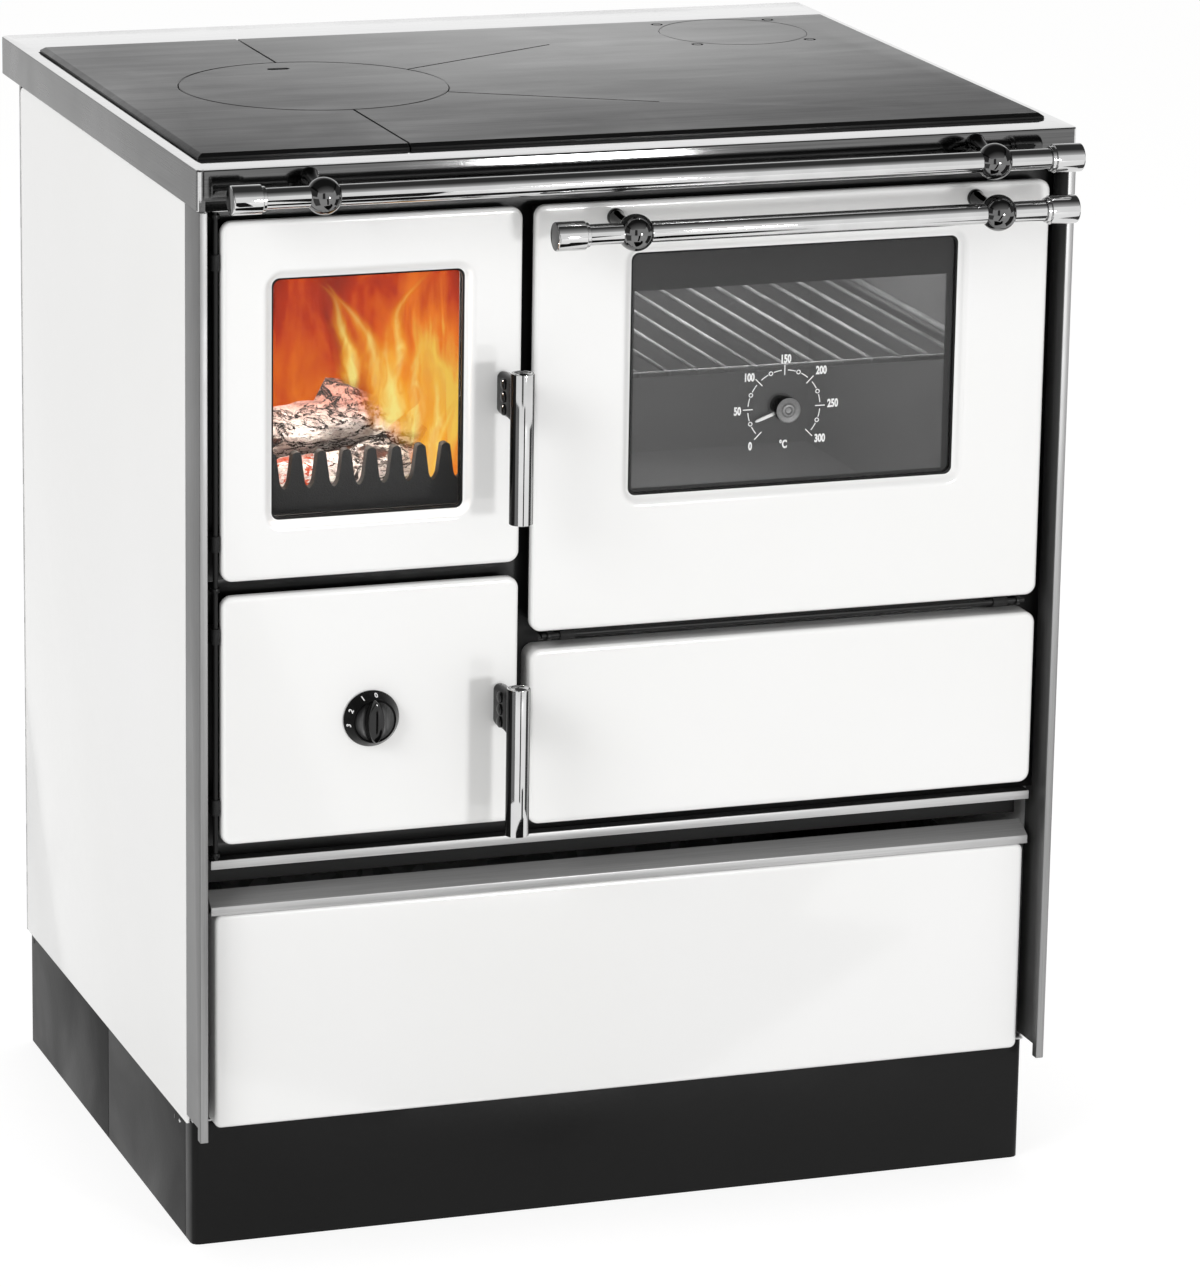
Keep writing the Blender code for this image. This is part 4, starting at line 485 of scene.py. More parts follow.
def painted_fire_glow():
    """Painted fire light on a sheet in front of the bricks: deep orange, brightest low down and to the front
    of the right side.
    """
    made = Finish("painted fire light on the bricks", (0, 0, 0, 1), 1.0, specular_ior_level=0.0)
    tree = made.tree
    drift = clouds(tree, stretched(tree, made.place, (1.0, 0.45, 0.6)), 15.0, 4.0, 0.55, 0.8)
    streaks = clouds(tree, stretched(tree, made.place, (1.0, 1.3, 0.35)), 30.0, 4.0, 0.6, 0.9)
    fine = clouds(tree, made.place, 480.0, 3.0, 0.8)
    cooler = span(tree, axes_of(tree, made.place)["Z"], 0.56, 0.80, 0.08, -0.16)
    heat = plus(tree, drift, cooler)
    flat = stretched(tree, made.place, GLOW_FLATTEN)
    core = span(tree, distance_to(tree, flat, GLOW_CORE), 0.105, 0.015)
    heat = plus(tree, heat, times(tree, core, plus(tree, streaks, 0.12)))
    heat = plus(tree, heat, times(tree, minus(tree, fine, 0.5), 0.16))
    deep = mixed(tree, span(tree, heat, 0.32, 0.54), linear(122, 26, 12), linear(206, 58, 16))
    deep = mixed(tree, span(tree, heat, 0.50, 0.74), deep, linear(250, 128, 28))
    made.mix("Emission Color", span(tree, heat, 0.74, 1.0), deep, linear(255, 206, 84))
    made.set("Emission Strength", 1.0)
    return made.material


# how a grain is stretched, least along its lines
ACROSS_GRAIN = (7.0, 900.0, 900.0)
POST_GRAIN = (900.0, 900.0, 12.0)
RAIL_GRAIN = (10.0, 800.0, 800.0)
WIRE_GRAIN = (60.0, 14.0, 60.0)
EVEN_GRAIN = (700.0, 700.0, 700.0)
SKIRT_GRAIN = (900.0, 8.0, 900.0)
KNOB_GRAIN = (900.0, 900.0, 60.0)
STEEL_GRAIN = (600.0, 600.0, 20.0)
# size of the wear marks on plastic, then their lowest and highest roughness
BLACK_WEAR = (60.0, 0.14, 0.24)
GLOSS_WEAR = (70.0, 0.08, 0.13)

FINISHES = {
    "white_enamel": white_enamel(),
    "charcoal_enamel": dark_enamel("charcoal enamel", 11, 15, 0.4, 0.52, 0.17),
    "black_enamel": dark_enamel("black enamel", 7, 11, 0.28, 0.42),
    "stainless": brushed_metal("polished stainless", 208, 226, 0.03, 0.07, ACROSS_GRAIN, strength=0.008),
    "satin_post": brushed_metal("satin post paint", 146, 160, 0.34, 0.42, POST_GRAIN, 0.6, 0.03),
    "rail_metal": brushed_metal("satin rail sheet", 162, 178, 0.30, 0.4, RAIL_GRAIN, 0.45, 0.03),
    "hob_steel": hob_steel(),
    "chrome": chrome(),
    "galvanised": galvanised(),
    "steel": brushed_metal("bright steel", 186, 200, 0.2, 0.3, STEEL_GRAIN),
    "cast_iron": cast_iron("grey cast iron", 30),
    "oven_enamel": oven_enamel(),
    "firebrick": firebrick(),
    "glass": pane("clear fire glass", grey(60), 0.10),
    "smoked_glass": pane("smoked oven glass", grey(50), 0.56),
    "black_plastic": moulded_black("moulded black plastic", (6, 12), 420.0, 0.1, BLACK_WEAR, 0.06),
}
# darker copy of the frame's stainless for its sides: brushed, and painted shade
SHADED_SIDE_STEEL = brushed_metal("brushed stainless skirt with painted shade", 98, 114, 0.22, 0.3, SKIRT_GRAIN, strength=0.03)
# darker copy of the stainless for the frame's front: painted dark reflection
DARKENED_FRONT_STEEL = brushed_metal("polished stainless front", 96, 118, 0.04, 0.08, ACROSS_GRAIN, strength=0.01)
# darker copy of the post paint for the posts' sides: painted shade
SHADED_POST_SIDE = brushed_metal("satin post side with painted shade", 98, 116, 0.34, 0.42, POST_GRAIN, 0.6, 0.03)
# paler copy of the rail sheet for the rails' lips: painted highlight
LIT_RAIL_LIP = brushed_metal("satin rail lip with painted highlight", 186, 200, 0.28, 0.36, RAIL_GRAIN, 0.45, 0.03)
# painted shade in the upper rail's recess behind its lip
RAIL_SHADE = dark_enamel("painted recess shade", 30, 38, 0.45, 0.55)
# darker copy of the chrome for the balls: painted dark reflection
DARKENED_CHROME = chrome("chrome with painted dark reflection", 116)
SHADED_CHROME = chrome("shaded chrome", 62)
GLOSS_BLACK = moulded_black("glossy black", (5, 10), 300.0, 0.5, GLOSS_WEAR, 0.04)
# darker iron for the door liners, which show in the gaps round the doors: painted shade
SHADED_LINER_IRON = cast_iron("door liner iron with painted shade", 15, dust_amount=0.05)
RACK_STEEL = brushed_metal("dull wire", 150, 232, 0.3, 0.42, WIRE_GRAIN, 0.45)
HOB_EDGE = dark_enamel("black hob edge", 10, 18, 0.3, 0.42)
# black for the steel hinge pins in the gaps round the doors: painted shade
SHADE_BLACK_STEEL = dark_enamel("blackened steel", 9, 14, 0.4, 0.5)
KNOB_METAL = brushed_metal("satin knob face", 72, 98, 0.3, 0.4, KNOB_GRAIN)
DIAL_METAL = brushed_metal("turned dial face", 112, 132, 0.35, 0.45, EVEN_GRAIN, 0.5)
NEEDLE_METAL = brushed_metal("pale needle", 196, 212, 0.35, 0.45, EVEN_GRAIN, 0.5)
# paler copy of the wire for the rack's front bar: painted highlight
RACK_BAR = brushed_metal("rack bar with painted highlight", 226, 244, 0.3, 0.4, WIRE_GRAIN, 0.1)
PRINT = printed_white()
BURNT_LOG = burnt_log()
EMBERS = embers()
FLAME = flame()
PAINTED_FIRE_GLOW = painted_fire_glow()
BLACK_IRON = cast_iron("black cast iron", 46, 900.0, 0.6, 0.05)

for part in nodes.values():
    for entry in part.material_slots:
        known = entry.material.name.split(".")[0] if entry.material else ""
        if known in FINISHES:
            entry.material = FINISHES[known]
# hinge pins painted black as shade in the gaps round the doors
for pin in ("door_hinge_pin", "oven_hinge_pin"):
    for entry in nodes[pin].material_slots:
        entry.material = SHADE_BLACK_STEEL


# mesh helpers


def body_of(node):
    return nodes[node]["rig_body"]


def middle_of(node):
    """Middle of a CAD node's box."""
    low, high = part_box(node)
    return [(a + b) / 2 for a, b in zip(low, high)]


def new_object(name, data):
    made = bpy.data.objects.new(name, data)
    scene.collection.objects.link(made)
    return made


def new_mesh(bm, name, outward=True):
    if outward:
        bmesh.ops.recalc_face_normals(bm, faces=bm.faces)
    mesh = bpy.data.meshes.new(name)
    bm.to_mesh(mesh)
    bm.free()
    return mesh


def add_piece(name, mesh, finishes, body, replaced=(), angle=SHARP):
    """Piece of the stove that rides on a body and may stand for CAD nodes."""
    mesh.materials.clear()
    for finish in finishes:
        mesh.materials.append(finish)
    mesh.shade_smooth()
    mesh.set_sharp_from_angle(angle=angle)
    made = new_object(name, mesh)
    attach(made, body)
    if replaced:
        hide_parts(*replaced)
    return made


def dress(name, bm, node, slot, finishes=None, outward=True):
    """Piece that stands for one CAD node, in that node's place and body."""
    finishes = finishes or [FINISHES[slot]]
    return add_piece(name, new_mesh(bm, name, outward), finishes, body_of(node), (node,))


def colour_faces(made, chosen):
    """Gives each face the finish whose number the test returns; a yes is the second one."""
    for face in made.data.polygons:
        face.material_index = int(chosen(face))


def soften(node, slot, width, segments=2, finishes=None):
    """The node's own shape with its sharp edges eased."""
    bm = bmesh.new()
    bm.from_mesh(nodes[node].data)
    bmesh.ops.remove_doubles(bm, verts=bm.verts, dist=1e-5)
    bmesh.ops.dissolve_limit(bm, angle_limit=math.radians(1), verts=bm.verts, edges=bm.edges)
    sharp = [edge for edge in bm.edges if edge.is_manifold and edge.calc_face_angle(0.0) > EASED]
    bmesh.ops.bevel(
        bm, geom=sharp, offset=width, segments=segments, profile=0.5, affect="EDGES", clamp_overlap=True
    )
    return dress(f"{node}_eased", bm, node, slot, finishes, outward=False)


def round_angles(count):
    return [math.tau * k / count for k in range(count)]


def quarter_angles(steps):
    return [math.pi / 2 * k / steps for k in range(steps + 1)]


def ring_points(profile_point, centre, axis, sides):
    """Circle of a turned shape at (distance along the axis, radius)."""
    along, radius = profile_point
    points = []
    for a in round_angles(sides):
        u = radius * math.cos(a)
        v = radius * math.sin(a)
        if axis == "x":
            points.append(Vector((along, centre[1] + u, centre[2] + v)))
        elif axis == "y":
            points.append(Vector((centre[0] + u, along, centre[2] + v)))
        else:
            points.append(Vector((centre[0] + u, centre[1] + v, along)))
    return points


def bridge(bm, loops, ring=False):
    """Skin over loops of equally many points, closed round on itself or capped at both ends."""
    rows = [[bm.verts.new(point) for point in loop] for loop in loops]
    pairs = list(zip(rows, rows[1:]))
    if ring:
        pairs.append((rows[-1], rows[0]))
    for first, second in pairs:
        count = len(first)
        for i in range(count):
            j = (i + 1) % count
            bm.faces.new((first[i], first[j], second[j], second[i]))
    if not ring:
        bm.faces.new(rows[0])
        bm.faces.new(rows[-1])


def skinned(loops, ring=False):
    """New shape skinned over loops."""
    bm = bmesh.new()
    bridge(bm, loops, ring)
    return bm


def turned(profile, centre, axis, sides, ring=False):
    """New turned shape."""
    bm = bmesh.new()
    turn_shape(bm, profile, centre, axis, sides, ring)
    return bm


def turn_shape(bm, profile, centre, axis, sides, ring=False):
    """Turned shape round an axis; a radius of nothing closes it in a fan."""
    rows = []
    for point in profile:
        if point[1] < 1e-7:
            spot = list(centre)
            spot["xyz".index(axis)] = point[0]
            rows.append([bm.verts.new(spot)])
        else:
            rows.append([bm.verts.new(v) for v in ring_points(point, centre, axis, sides)])
    pairs = list(zip(rows, rows[1:]))
    if ring:
        pairs.append((rows[-1], rows[0]))
    for first, second in pairs:
        for i in range(sides):
            j = (i + 1) % sides
            if len(first) == 1 and len(second) == 1:
                continue
            if len(first) == 1:
                bm.faces.new((first[0], second[j], second[i]))
            elif len(second) == 1:
                bm.faces.new((first[i], first[j], second[0]))
            else:
                bm.faces.new((first[i], first[j], second[j], second[i]))


def eased_profile(points, radius, steps=3):
    """Profile whose corners are rounded, apart from its two ends."""
    result = [points[0]]
    for before, here, after in zip(points, points[1:], points[2:]):
        a = Vector(before) - Vector(here)
        b = Vector(after) - Vector(here)
        reach = min(radius, a.length * 0.45, b.length * 0.45)
        start = Vector(here) + a.normalized() * reach
        end = Vector(here) + b.normalized() * reach
        for k in range(steps + 1):
            t = k / steps
            spot = start * (1 - t) ** 2 + Vector(here) * 2 * t * (1 - t) + end * t**2
            result.append(tuple(spot))
    result.append(points[-1])
    return result


CORNER_STEPS = 8


def corner_loop(x, z, radius, level, axis="y", steps=CORNER_STEPS):
    """Rounded rectangle over two spans; the level is its place along the third axis."""
    radius = max(radius, 1e-5)
    corners = [(x[1], z[1], 0), (x[0], z[1], 1), (x[0], z[0], 2), (x[1], z[0], 3)]
    points = []
    for corner_x, corner_z, quarter in corners:
        centre_x = corner_x - radius if quarter in (0, 3) else corner_x + radius
        centre_z = corner_z - radius if quarter in (0, 1) else corner_z + radius
        for k in range(steps + 1):
            a = math.pi / 2 * (quarter + k / steps)
            u = centre_x + radius * math.cos(a)
            v = centre_z + radius * math.sin(a)
            points.append(Vector((u, level, v) if axis == "y" else (u, v, level)))
    return points


def circle_loop(centre, radius, level):
    """Circle with as many points as a rounded rectangle, to join the two."""
    points = []
    for quarter in range(4):
        for k in range(CORNER_STEPS + 1):
            a = math.pi / 2 * (quarter + (k + 0.5) / (CORNER_STEPS + 1))
            points.append(Vector((centre[0] + radius * math.cos(a), level, centre[1] + radius * math.sin(a))))
    return points


def inset(span_, by):
    return (span_[0] + by, span_[1] - by)


def slab(bm, low, high):
    """Plain block between two corners."""
    x, y, z = zip(low, high)
    verts = [bm.verts.new((across, deep, up)) for up in z for deep in y for across in x]
    for face in ((0, 2, 3, 1), (4, 5, 7, 6), (0, 1, 5, 4), (1, 3, 7, 5), (3, 2, 6, 7), (2, 0, 4, 6)):
        bm.faces.new([verts[i] for i in face])


def temporary(bm, name="cutter"):
    return new_object(name, new_mesh(bm, name))


def plain_mesh(made, name):
    """The object's evaluated shape as a mesh of its own; the object is removed."""
    bpy.context.view_layer.update()
    graph = bpy.context.evaluated_depsgraph_get()
    mesh = bpy.data.meshes.new_from_object(made.evaluated_get(graph), depsgraph=graph)
    mesh.name = name
    bpy.data.objects.remove(made)
    return mesh


def carved(name, bm, cutters):
    """Mesh of a shape with the cutters taken out of it."""
    body = temporary(bm, name)
    tools = [temporary(cutter) for cutter in cutters]
    for tool in tools:
        change = body.modifiers.new("cut", "BOOLEAN")
        change.operation = "DIFFERENCE"
        change.solver = "EXACT"
        change.object = tool
    mesh = plain_mesh(body, name)
    for tool in tools:
        bpy.data.objects.remove(tool)
    return mesh


# repeated pieces, by geometry nodes


def copies_tree(name, extra):
    """Tree that copies the incoming shape; the caller adds what places the copies."""
    tree = bpy.data.node_groups.new(name, "GeometryNodeTree")
    tree.interface.new_socket("Shape", in_out="INPUT", socket_type="NodeSocketGeometry")
    for label, kind in extra:
        tree.interface.new_socket(label, in_out="INPUT", socket_type=f"NodeSocket{kind}")
    tree.interface.new_socket("Finish", in_out="INPUT", socket_type="NodeSocketMaterial")
    tree.interface.new_socket("Result", in_out="OUTPUT", socket_type="NodeSocketGeometry")
    given = tree.nodes.new("NodeGroupInput").outputs
    out = tree.nodes.new("NodeGroupOutput")
    placed = add_node(tree, "GeometryNodeInstanceOnPoints", {"Instance": given["Shape"]})
    real = add_node(tree, "GeometryNodeRealizeInstances", {"Geometry": placed.outputs["Instances"]})
    inputs = {"Geometry": real.outputs["Geometry"], "Material": given["Finish"]}
    coloured = add_node(tree, "GeometryNodeSetMaterial", inputs)
    tree.links.new(coloured.outputs["Geometry"], out.inputs["Result"])
    return tree, given, placed


def make_row_tree():
    """Copies of a shape in a straight row."""
    extra = [("Count", "Int"), ("First", "Vector"), ("Step", "Vector")]
    tree, given, placed = copies_tree("row of copies", extra)
    line = add_node(
        tree,
        "GeometryNodeMeshLine",
        {"Count": given["Count"], "Start Location": given["First"], "Offset": given["Step"]},
    )
    tree.links.new(line.outputs["Mesh"], placed.inputs["Points"])
    return tree


def make_ring_tree():
    """Copies of a shape round a centre in the XZ plane, each turned to face outwards."""
    extra = [("Count", "Int"), ("Centre", "Vector")]
    extra += [("Radius", "Float"), ("Start", "Float"), ("Turn", "Float")]
    tree, given, placed = copies_tree("ring of copies", extra)
    index = add_node(tree, "GeometryNodeInputIndex").outputs[0]
    angle = plus(tree, given["Start"], times(tree, index, given["Turn"]))
    x = times(tree, maths(tree, "COSINE", angle), given["Radius"])
    z = times(tree, maths(tree, "SINE", angle), given["Radius"])
    local = add_node(tree, "ShaderNodeCombineXYZ", {"X": x, "Z": z}).outputs[0]
    spot = vectors(tree, "ADD", local, given["Centre"])[0]
    points = add_node(tree, "GeometryNodePoints", {"Count": given["Count"], "Position": spot})
    tree.links.new(points.outputs[0], placed.inputs["Points"])
    facing = add_node(tree, "ShaderNodeCombineXYZ", {"Y": times(tree, angle, -1.0)}).outputs[0]
    tree.links.new(facing, placed.inputs["Rotation"])
    return tree


ROW_OF_COPIES = make_row_tree()
RING_OF_COPIES = make_ring_tree()


def repeated(tree, bm, finish, **inputs):
    """Mesh of a shape repeated by one of the trees above."""
    made = temporary(bm, "pattern")
    change = made.modifiers.new("copies", "NODES")
    change.node_group = tree
    values = {name.title(): value for name, value in inputs.items()}
    values["Finish"] = finish
    for item in tree.interface.items_tree:
        if item.item_type == "SOCKET" and item.in_out == "INPUT" and item.name in values:
            change[item.identifier] = values[item.name]
    return plain_mesh(made, "copies")


PRINT_RISE = 0.00012  # how far printing stands off its face


def lettering(text, size, centre, face, narrow, weight, turn=0.0, slope=None):
    """Printed characters as a thin mesh on a face that looks to the front."""
    curve = bpy.data.curves.new("lettering", "FONT")
    curve.body = text
    curve.size = size
    curve.align_x = "CENTER"
    curve.align_y = "CENTER"
    curve.extrude = PRINT_RISE / 2
    curve.offset = weight
    curve.resolution_u = 4
    mesh = plain_mesh(new_object("lettering", curve), "lettering")
    bpy.data.curves.remove(curve)
    stood_up = Matrix.Rotation(math.pi / 2, 4, "X")
    spin = Matrix.Rotation(-turn, 4, "Y")
    lean = slope if slope is not None else Matrix.Identity(4)
    place = Matrix.Translation((centre[0], face - PRINT_RISE / 2, centre[1]))
    mesh.transform(place @ spin @ lean @ stood_up @ Matrix.Diagonal((narrow, 1, 1, 1)))
    return mesh


def gathered(meshes, name):
    """One mesh from several."""
    bm = bmesh.new()
    for mesh in meshes:
        bm.from_mesh(mesh)
        bpy.data.meshes.remove(mesh)
    return new_mesh(bm, name, outward=False)


# enamelled doors and panels

DOOR_CORNER = 0.009
DOOR_ROLL = 0.0032
BAND_WIDTH = 0.0085
BAND_PRESS = 0.0044
BAND_CORNER = 0.015
WINDOW_LINE = 0.0014  # black edge left bare round the glass
WINDOW_CORNER = 0.006
DRAWER_CORNER = 0.0055
DRAWER_ROLL = 0.003
FLAT_MARGIN = 0.0016  # flat border that keeps an edge's curve out of the flat beside it
FIRE_WINDOW = ((-0.2895, -0.1423), (0.5820, 0.7633))
OVEN_WINDOW = ((-0.0075, 0.2555), (0.5820, 0.7676))
KNOB_CENTRE = (-0.21365, 0.4223)
SPINDLE_BORE = 0.0045


def rolled_front(x, z, corner, roll, front, back):
    """Loops from the back edge forwards and over the rolled edge to the front face."""
    loops = [corner_loop(x, z, corner, back)]
    for a in quarter_angles(5):
        by = roll * (1 - math.cos(a))
        loops.append(corner_loop(inset(x, by), inset(z, by), corner - by, front + roll * (1 - math.sin(a))))
    by = roll + FLAT_MARGIN
    loops.append(corner_loop(inset(x, by), inset(z, by), corner - roll - 0.0008, front))
    return loops


def window_band(window, front, back):
    """Loops of the band pressed in round a window, and of the opening behind it."""
    band_x, band_z = (inset(side, -BAND_WIDTH) for side in window)
    around = (inset(band_x, -FLAT_MARGIN), inset(band_z, -FLAT_MARGIN))
    loops = [corner_loop(*around, BAND_CORNER + FLAT_MARGIN, front)]
    for k in range(5):
        t = k / 4
        by = (BAND_WIDTH - WINDOW_LINE) * t
        corner = BAND_CORNER + (WINDOW_CORNER - BAND_CORNER) * t
        level = front + BAND_PRESS * (t * t * (3 - 2 * t))
        loops.append(corner_loop(inset(band_x, by), inset(band_z, by), corner, level))
    loops.append(corner_loop(*window, WINDOW_CORNER, front + BAND_PRESS + 0.0006))
    loops.append(corner_loop(*window, WINDOW_CORNER, back))
    return loops


def enamel_panel(node, corner, roll, window=None, bore=None):
    low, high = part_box(node)
    loops = rolled_front((low[0], high[0]), (low[2], high[2]), corner, roll, low[1], high[1])
    if window:
        loops += window_band(window, low[1], high[1])
    if bore:
        loops += [circle_loop(bore, SPINDLE_BORE, level) for level in (low[1], high[1])]
    bm = skinned(loops, ring=bool(window or bore))
    finishes = [FINISHES["white_enamel"], FINISHES["black_enamel"]]
    made = dress(f"{node}_enamel", bm, node, "white_enamel", finishes)
    if window:
        pressed = low[1] + BAND_PRESS + 0.0001
        colour_faces(made, lambda face: face.center.y > pressed and faces_in(face, window))


def faces_in(face, window):
    """Whether a face lies within a window's outline, give or take the edge itself."""
    (left, right), (bottom, top) = window
    edge = WINDOW_LINE
    return left - edge <= face.center.x <= right + edge and bottom - edge <= face.center.z <= top + edge


enamel_panel("fire_door_panel", DOOR_CORNER, DOOR_ROLL, FIRE_WINDOW)
enamel_panel("oven_door_panel", DOOR_CORNER, DOOR_ROLL, OVEN_WINDOW)
enamel_panel("ash_door_panel", DOOR_CORNER, DOOR_ROLL, bore=KNOB_CENTRE)
enamel_panel("lower_cover_panel", DOOR_CORNER, DOOR_ROLL)
enamel_panel("drawer_front", DRAWER_CORNER, DRAWER_ROLL)

for sheet_node in ("side_panel_left", "side_panel_right"):
    soften(sheet_node, "white_enamel", 0.0009, 3)
# door liners take darker iron as painted shade in the gaps
for liner in ("fire_door_liner", "ash_door_liner", "oven_door_liner"):
    soften(liner, "cast_iron", 0.0008, 2, [SHADED_LINER_IRON])
soften("front_plate", "black_enamel", 0.0008, 2)


# sheet metal of the body

PLINTH_SIDE = 0.3457
SCREW_SPOT = (-0.2031, 0.0907)  # Y and Z on the plinth's side, as for the front notch
NOTCH_SPOT = (-0.1874, 0.0892)
NOTCH_STEP = (0, 0.4476, 0.0017)
UPPER_LIP = -0.2535  # a rail's faces up to this Y belong to its lip
GRIP_LIP = -0.2540
GRIP_EDGE = 0.2872  # above this height the drawer's grip rail takes its lip's painted highlight

for plinth in ("plinth_front", "plinth_side_left", "plinth_side_right", "plinth_rear"):
    soften(plinth, "charcoal_enamel", 0.0007, 2)
for post in ("post_left", "post_right"):
    strip = soften(post, "satin_post", 0.0008, 3, [FINISHES["satin_post"], SHADED_POST_SIDE])
    # sides of each post get painted shade
    colour_faces(strip, lambda face: abs(face.normal.x) > 0.7)
for rail, lip in (("rail_upper", UPPER_LIP), ("drawer_grip_rail", GRIP_LIP)):
    strip = soften(rail, "rail_metal", 0.0005, 3, [FINISHES["rail_metal"], LIT_RAIL_LIP, RAIL_SHADE])
    # lip faces take a painted highlight; the upper rail's faces behind its lip take painted shade
    for polygon in strip.data.polygons:
        if polygon.center.y <= lip:
            polygon.material_index = 1
        elif rail == "rail_upper":
            polygon.material_index = 2
        elif polygon.center.z > GRIP_EDGE:
            polygon.material_index = 1
for folded in ("base_pan", "back_panel", "drawer_box", "ash_pan"):
    soften(folded, "galvanised", 0.0005, 1)
soften("firebox_casing", "cast_iron", 0.0015, 2)
soften("grate", "cast_iron", 0.0012, 2)
soften("oven_box", "oven_enamel", 0.0008, 2)
soften("flue_collar", "cast_iron", 0.0006, 2)
for brick in ("firebrick_left", "firebrick_right", "firebrick_rear"):
    soften(brick, "firebrick", 0.0025, 3)


def plinth_fixings():
    """One small screw and two locating notches, drawn as dark patches of painted shade, along the top of each
    side of the plinth.
    """
    head = ((0.0, 0.0), (0.0, 0.0017), (0.0006, 0.0016), (0.0011, 0.0009), (0.0012, 0.0))
    for side, outward in (("left", -1), ("right", 1)):
        face = outward * PLINTH_SIDE
        profile = [(face + outward * rise, radius) for rise, radius in head]
        name = f"plinth_screw_{side}"
        mesh = new_mesh(turned(profile, (0, *SCREW_SPOT), "x", 20), name)
        add_piece(name, mesh, [FINISHES["steel"]], "cooker")
        # each notch is a thin black patch on the surface: painted shade where the notch would be
        notch = bmesh.new()
        slab(notch, (-0.0002, -0.0009, -0.0017), (0.0002, 0.0009, 0.0017))
        first = (face + outward * 0.0001, *NOTCH_SPOT)
        finish = FINISHES["black_enamel"]
        mesh = repeated(ROW_OF_COPIES, notch, finish, count=2, first=first, step=NOTCH_STEP)
        add_piece(f"plinth_notch_shade_{side}", mesh, [finish], "cooker")


plinth_fixings()


# hob

HOB_LEDGE = 0.008
HOB_LEDGE_TOP = 0.8442
HOB_SHEET_UNDER = 0.8415
HOB_SKIRT = 0.0025  # thickness of the frame's sides
HOB_ROLL = 0.0014
HOB_CORNER = 0.006
HOB_EASE = 0.0024  # faces this near the top of a plate can belong to its eased edge
HOB_OPENING = ((-0.3395, 0.3395), (-0.2335, 0.2430))
LID_CENTRE = (-0.1745, 0.0195)
LID_RADIUS = 0.1055
LID_SEAT = 0.0053
LID_NOTCH = (-0.006, 0.078, 0.018, 0.007)  # from the lid's centre, then its length and width
SLOT_TURN = math.radians(29)
SLOT_SPAN = (0.095, 0.274)
SLOT_WIDTH = 0.0021
FLUE_CENTRE = (0.2326, 0.1735)
FLUE_RADIUS = 0.0610
FLUE_SCREW_RING = 0.0695


def hob_frame():
    low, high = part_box("hob_frame")
    x, y, _ = zip(low, high)
    bottom = low[2]
    top = high[2]
    open_x, open_y = HOB_OPENING
    loops = []

    def ring(span_x, span_y, by, radius, level):
        loops.append(corner_loop(inset(span_x, by), inset(span_y, by), radius, level, "z", 6))

    ring(open_x, open_y, HOB_LEDGE, 0.001, HOB_SHEET_UNDER)
    ring(open_x, open_y, HOB_LEDGE, 0.001, HOB_LEDGE_TOP)
    ring(open_x, open_y, 0.0, 0.002, HOB_LEDGE_TOP)
    ring(open_x, open_y, 0.0, 0.002, top - 0.0006)
    ring(open_x, open_y, -0.0006, 0.0026, top)
    for a in quarter_angles(4):
        by = HOB_ROLL * (1 - math.sin(a))
        ring(x, y, by, HOB_CORNER - by, top - HOB_ROLL * (1 - math.cos(a)))
    ring(x, y, 0.0, HOB_CORNER, bottom + 0.0005)
    ring(x, y, 0.0005, HOB_CORNER - 0.0005, bottom)
    ring(x, y, HOB_SKIRT, HOB_CORNER - HOB_SKIRT, bottom)
    ring(x, y, HOB_SKIRT, HOB_CORNER - HOB_SKIRT, HOB_SHEET_UNDER)
    finishes = [FINISHES["stainless"], SHADED_SIDE_STEEL, DARKENED_FRONT_STEEL]
    made = dress("hob_frame_polished", skinned(loops, ring=True), "hob_frame", "stainless", finishes)

    # the frame's sides take painted shade, its front a painted dark reflection
    def finish_of(face):
        if abs(face.normal.x) > 0.8 and abs(face.center.x) > x[1] - 0.002:
            return 1
        return 2 if face.normal.y < -0.8 and face.center.y < y[0] + 0.002 else 0

    colour_faces(made, finish_of)


def plate_blank(node, ease_left, ease_right):
    """Hob plate with its outer edges chamfered and the joint's edge left almost square."""
    low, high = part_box(node)
    loops = []
    for level, by in ((low[2], 0.0), (high[2] - 0.0026, 0.0), (high[2] - 0.0004, 0.0030), (high[2], 0.0036)):
        joint = min(by, 0.0006)
        left = low[0] + (by if ease_left else joint)
        right = high[0] - (by if ease_right else joint)
        loops.append(corner_loop((left, right), (low[1] + by, high[1] - by), 0.0008, level, "z", 2))
    return skinned(loops)


def lid_hole():
    low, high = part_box("hob_plate_right")
    top = high[2]
    seat = top - LID_SEAT
    under = low[2] - 0.001
    inner = LID_RADIUS - HOB_LEDGE
    gap = LID_RADIUS + 0.0006
    profile = [(under, 0.0), (under, inner), (seat, inner), (seat, gap), (top - 0.0010, gap)]
    profile += [(top + 0.0004, LID_RADIUS + 0.0018), (top + 0.0004, 0.0)]
    return turned(profile, (*LID_CENTRE, 0), "z", 128)


def flue_hole():
    low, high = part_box("flue_cover")
    under = low[2] - 0.0003
    over = high[2] + 0.0003
    gap = FLUE_RADIUS + 0.0004
    profile = [(under, 0.0), (under, gap), (high[2] - 0.0005, gap), (over, FLUE_RADIUS + 0.0012), (over, 0.0)]
    return turned(profile, (*FLUE_CENTRE, 0), "z", 96)


def slot_cutter(sign):
    """Fine expansion slot that runs out from the lid's hole."""
    low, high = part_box("hob_plate_right")
    half = SLOT_WIDTH / 2
    bm = bmesh.new()
    slab(bm, (SLOT_SPAN[0], -half, low[2] - 0.001), (SLOT_SPAN[1], half, high[2] + 0.001))
    place = Matrix.Translation((*LID_CENTRE, 0)) @ Matrix.Rotation(sign * SLOT_TURN, 4, "Z")
    bmesh.ops.transform(bm, matrix=place, verts=bm.verts)
    return bm


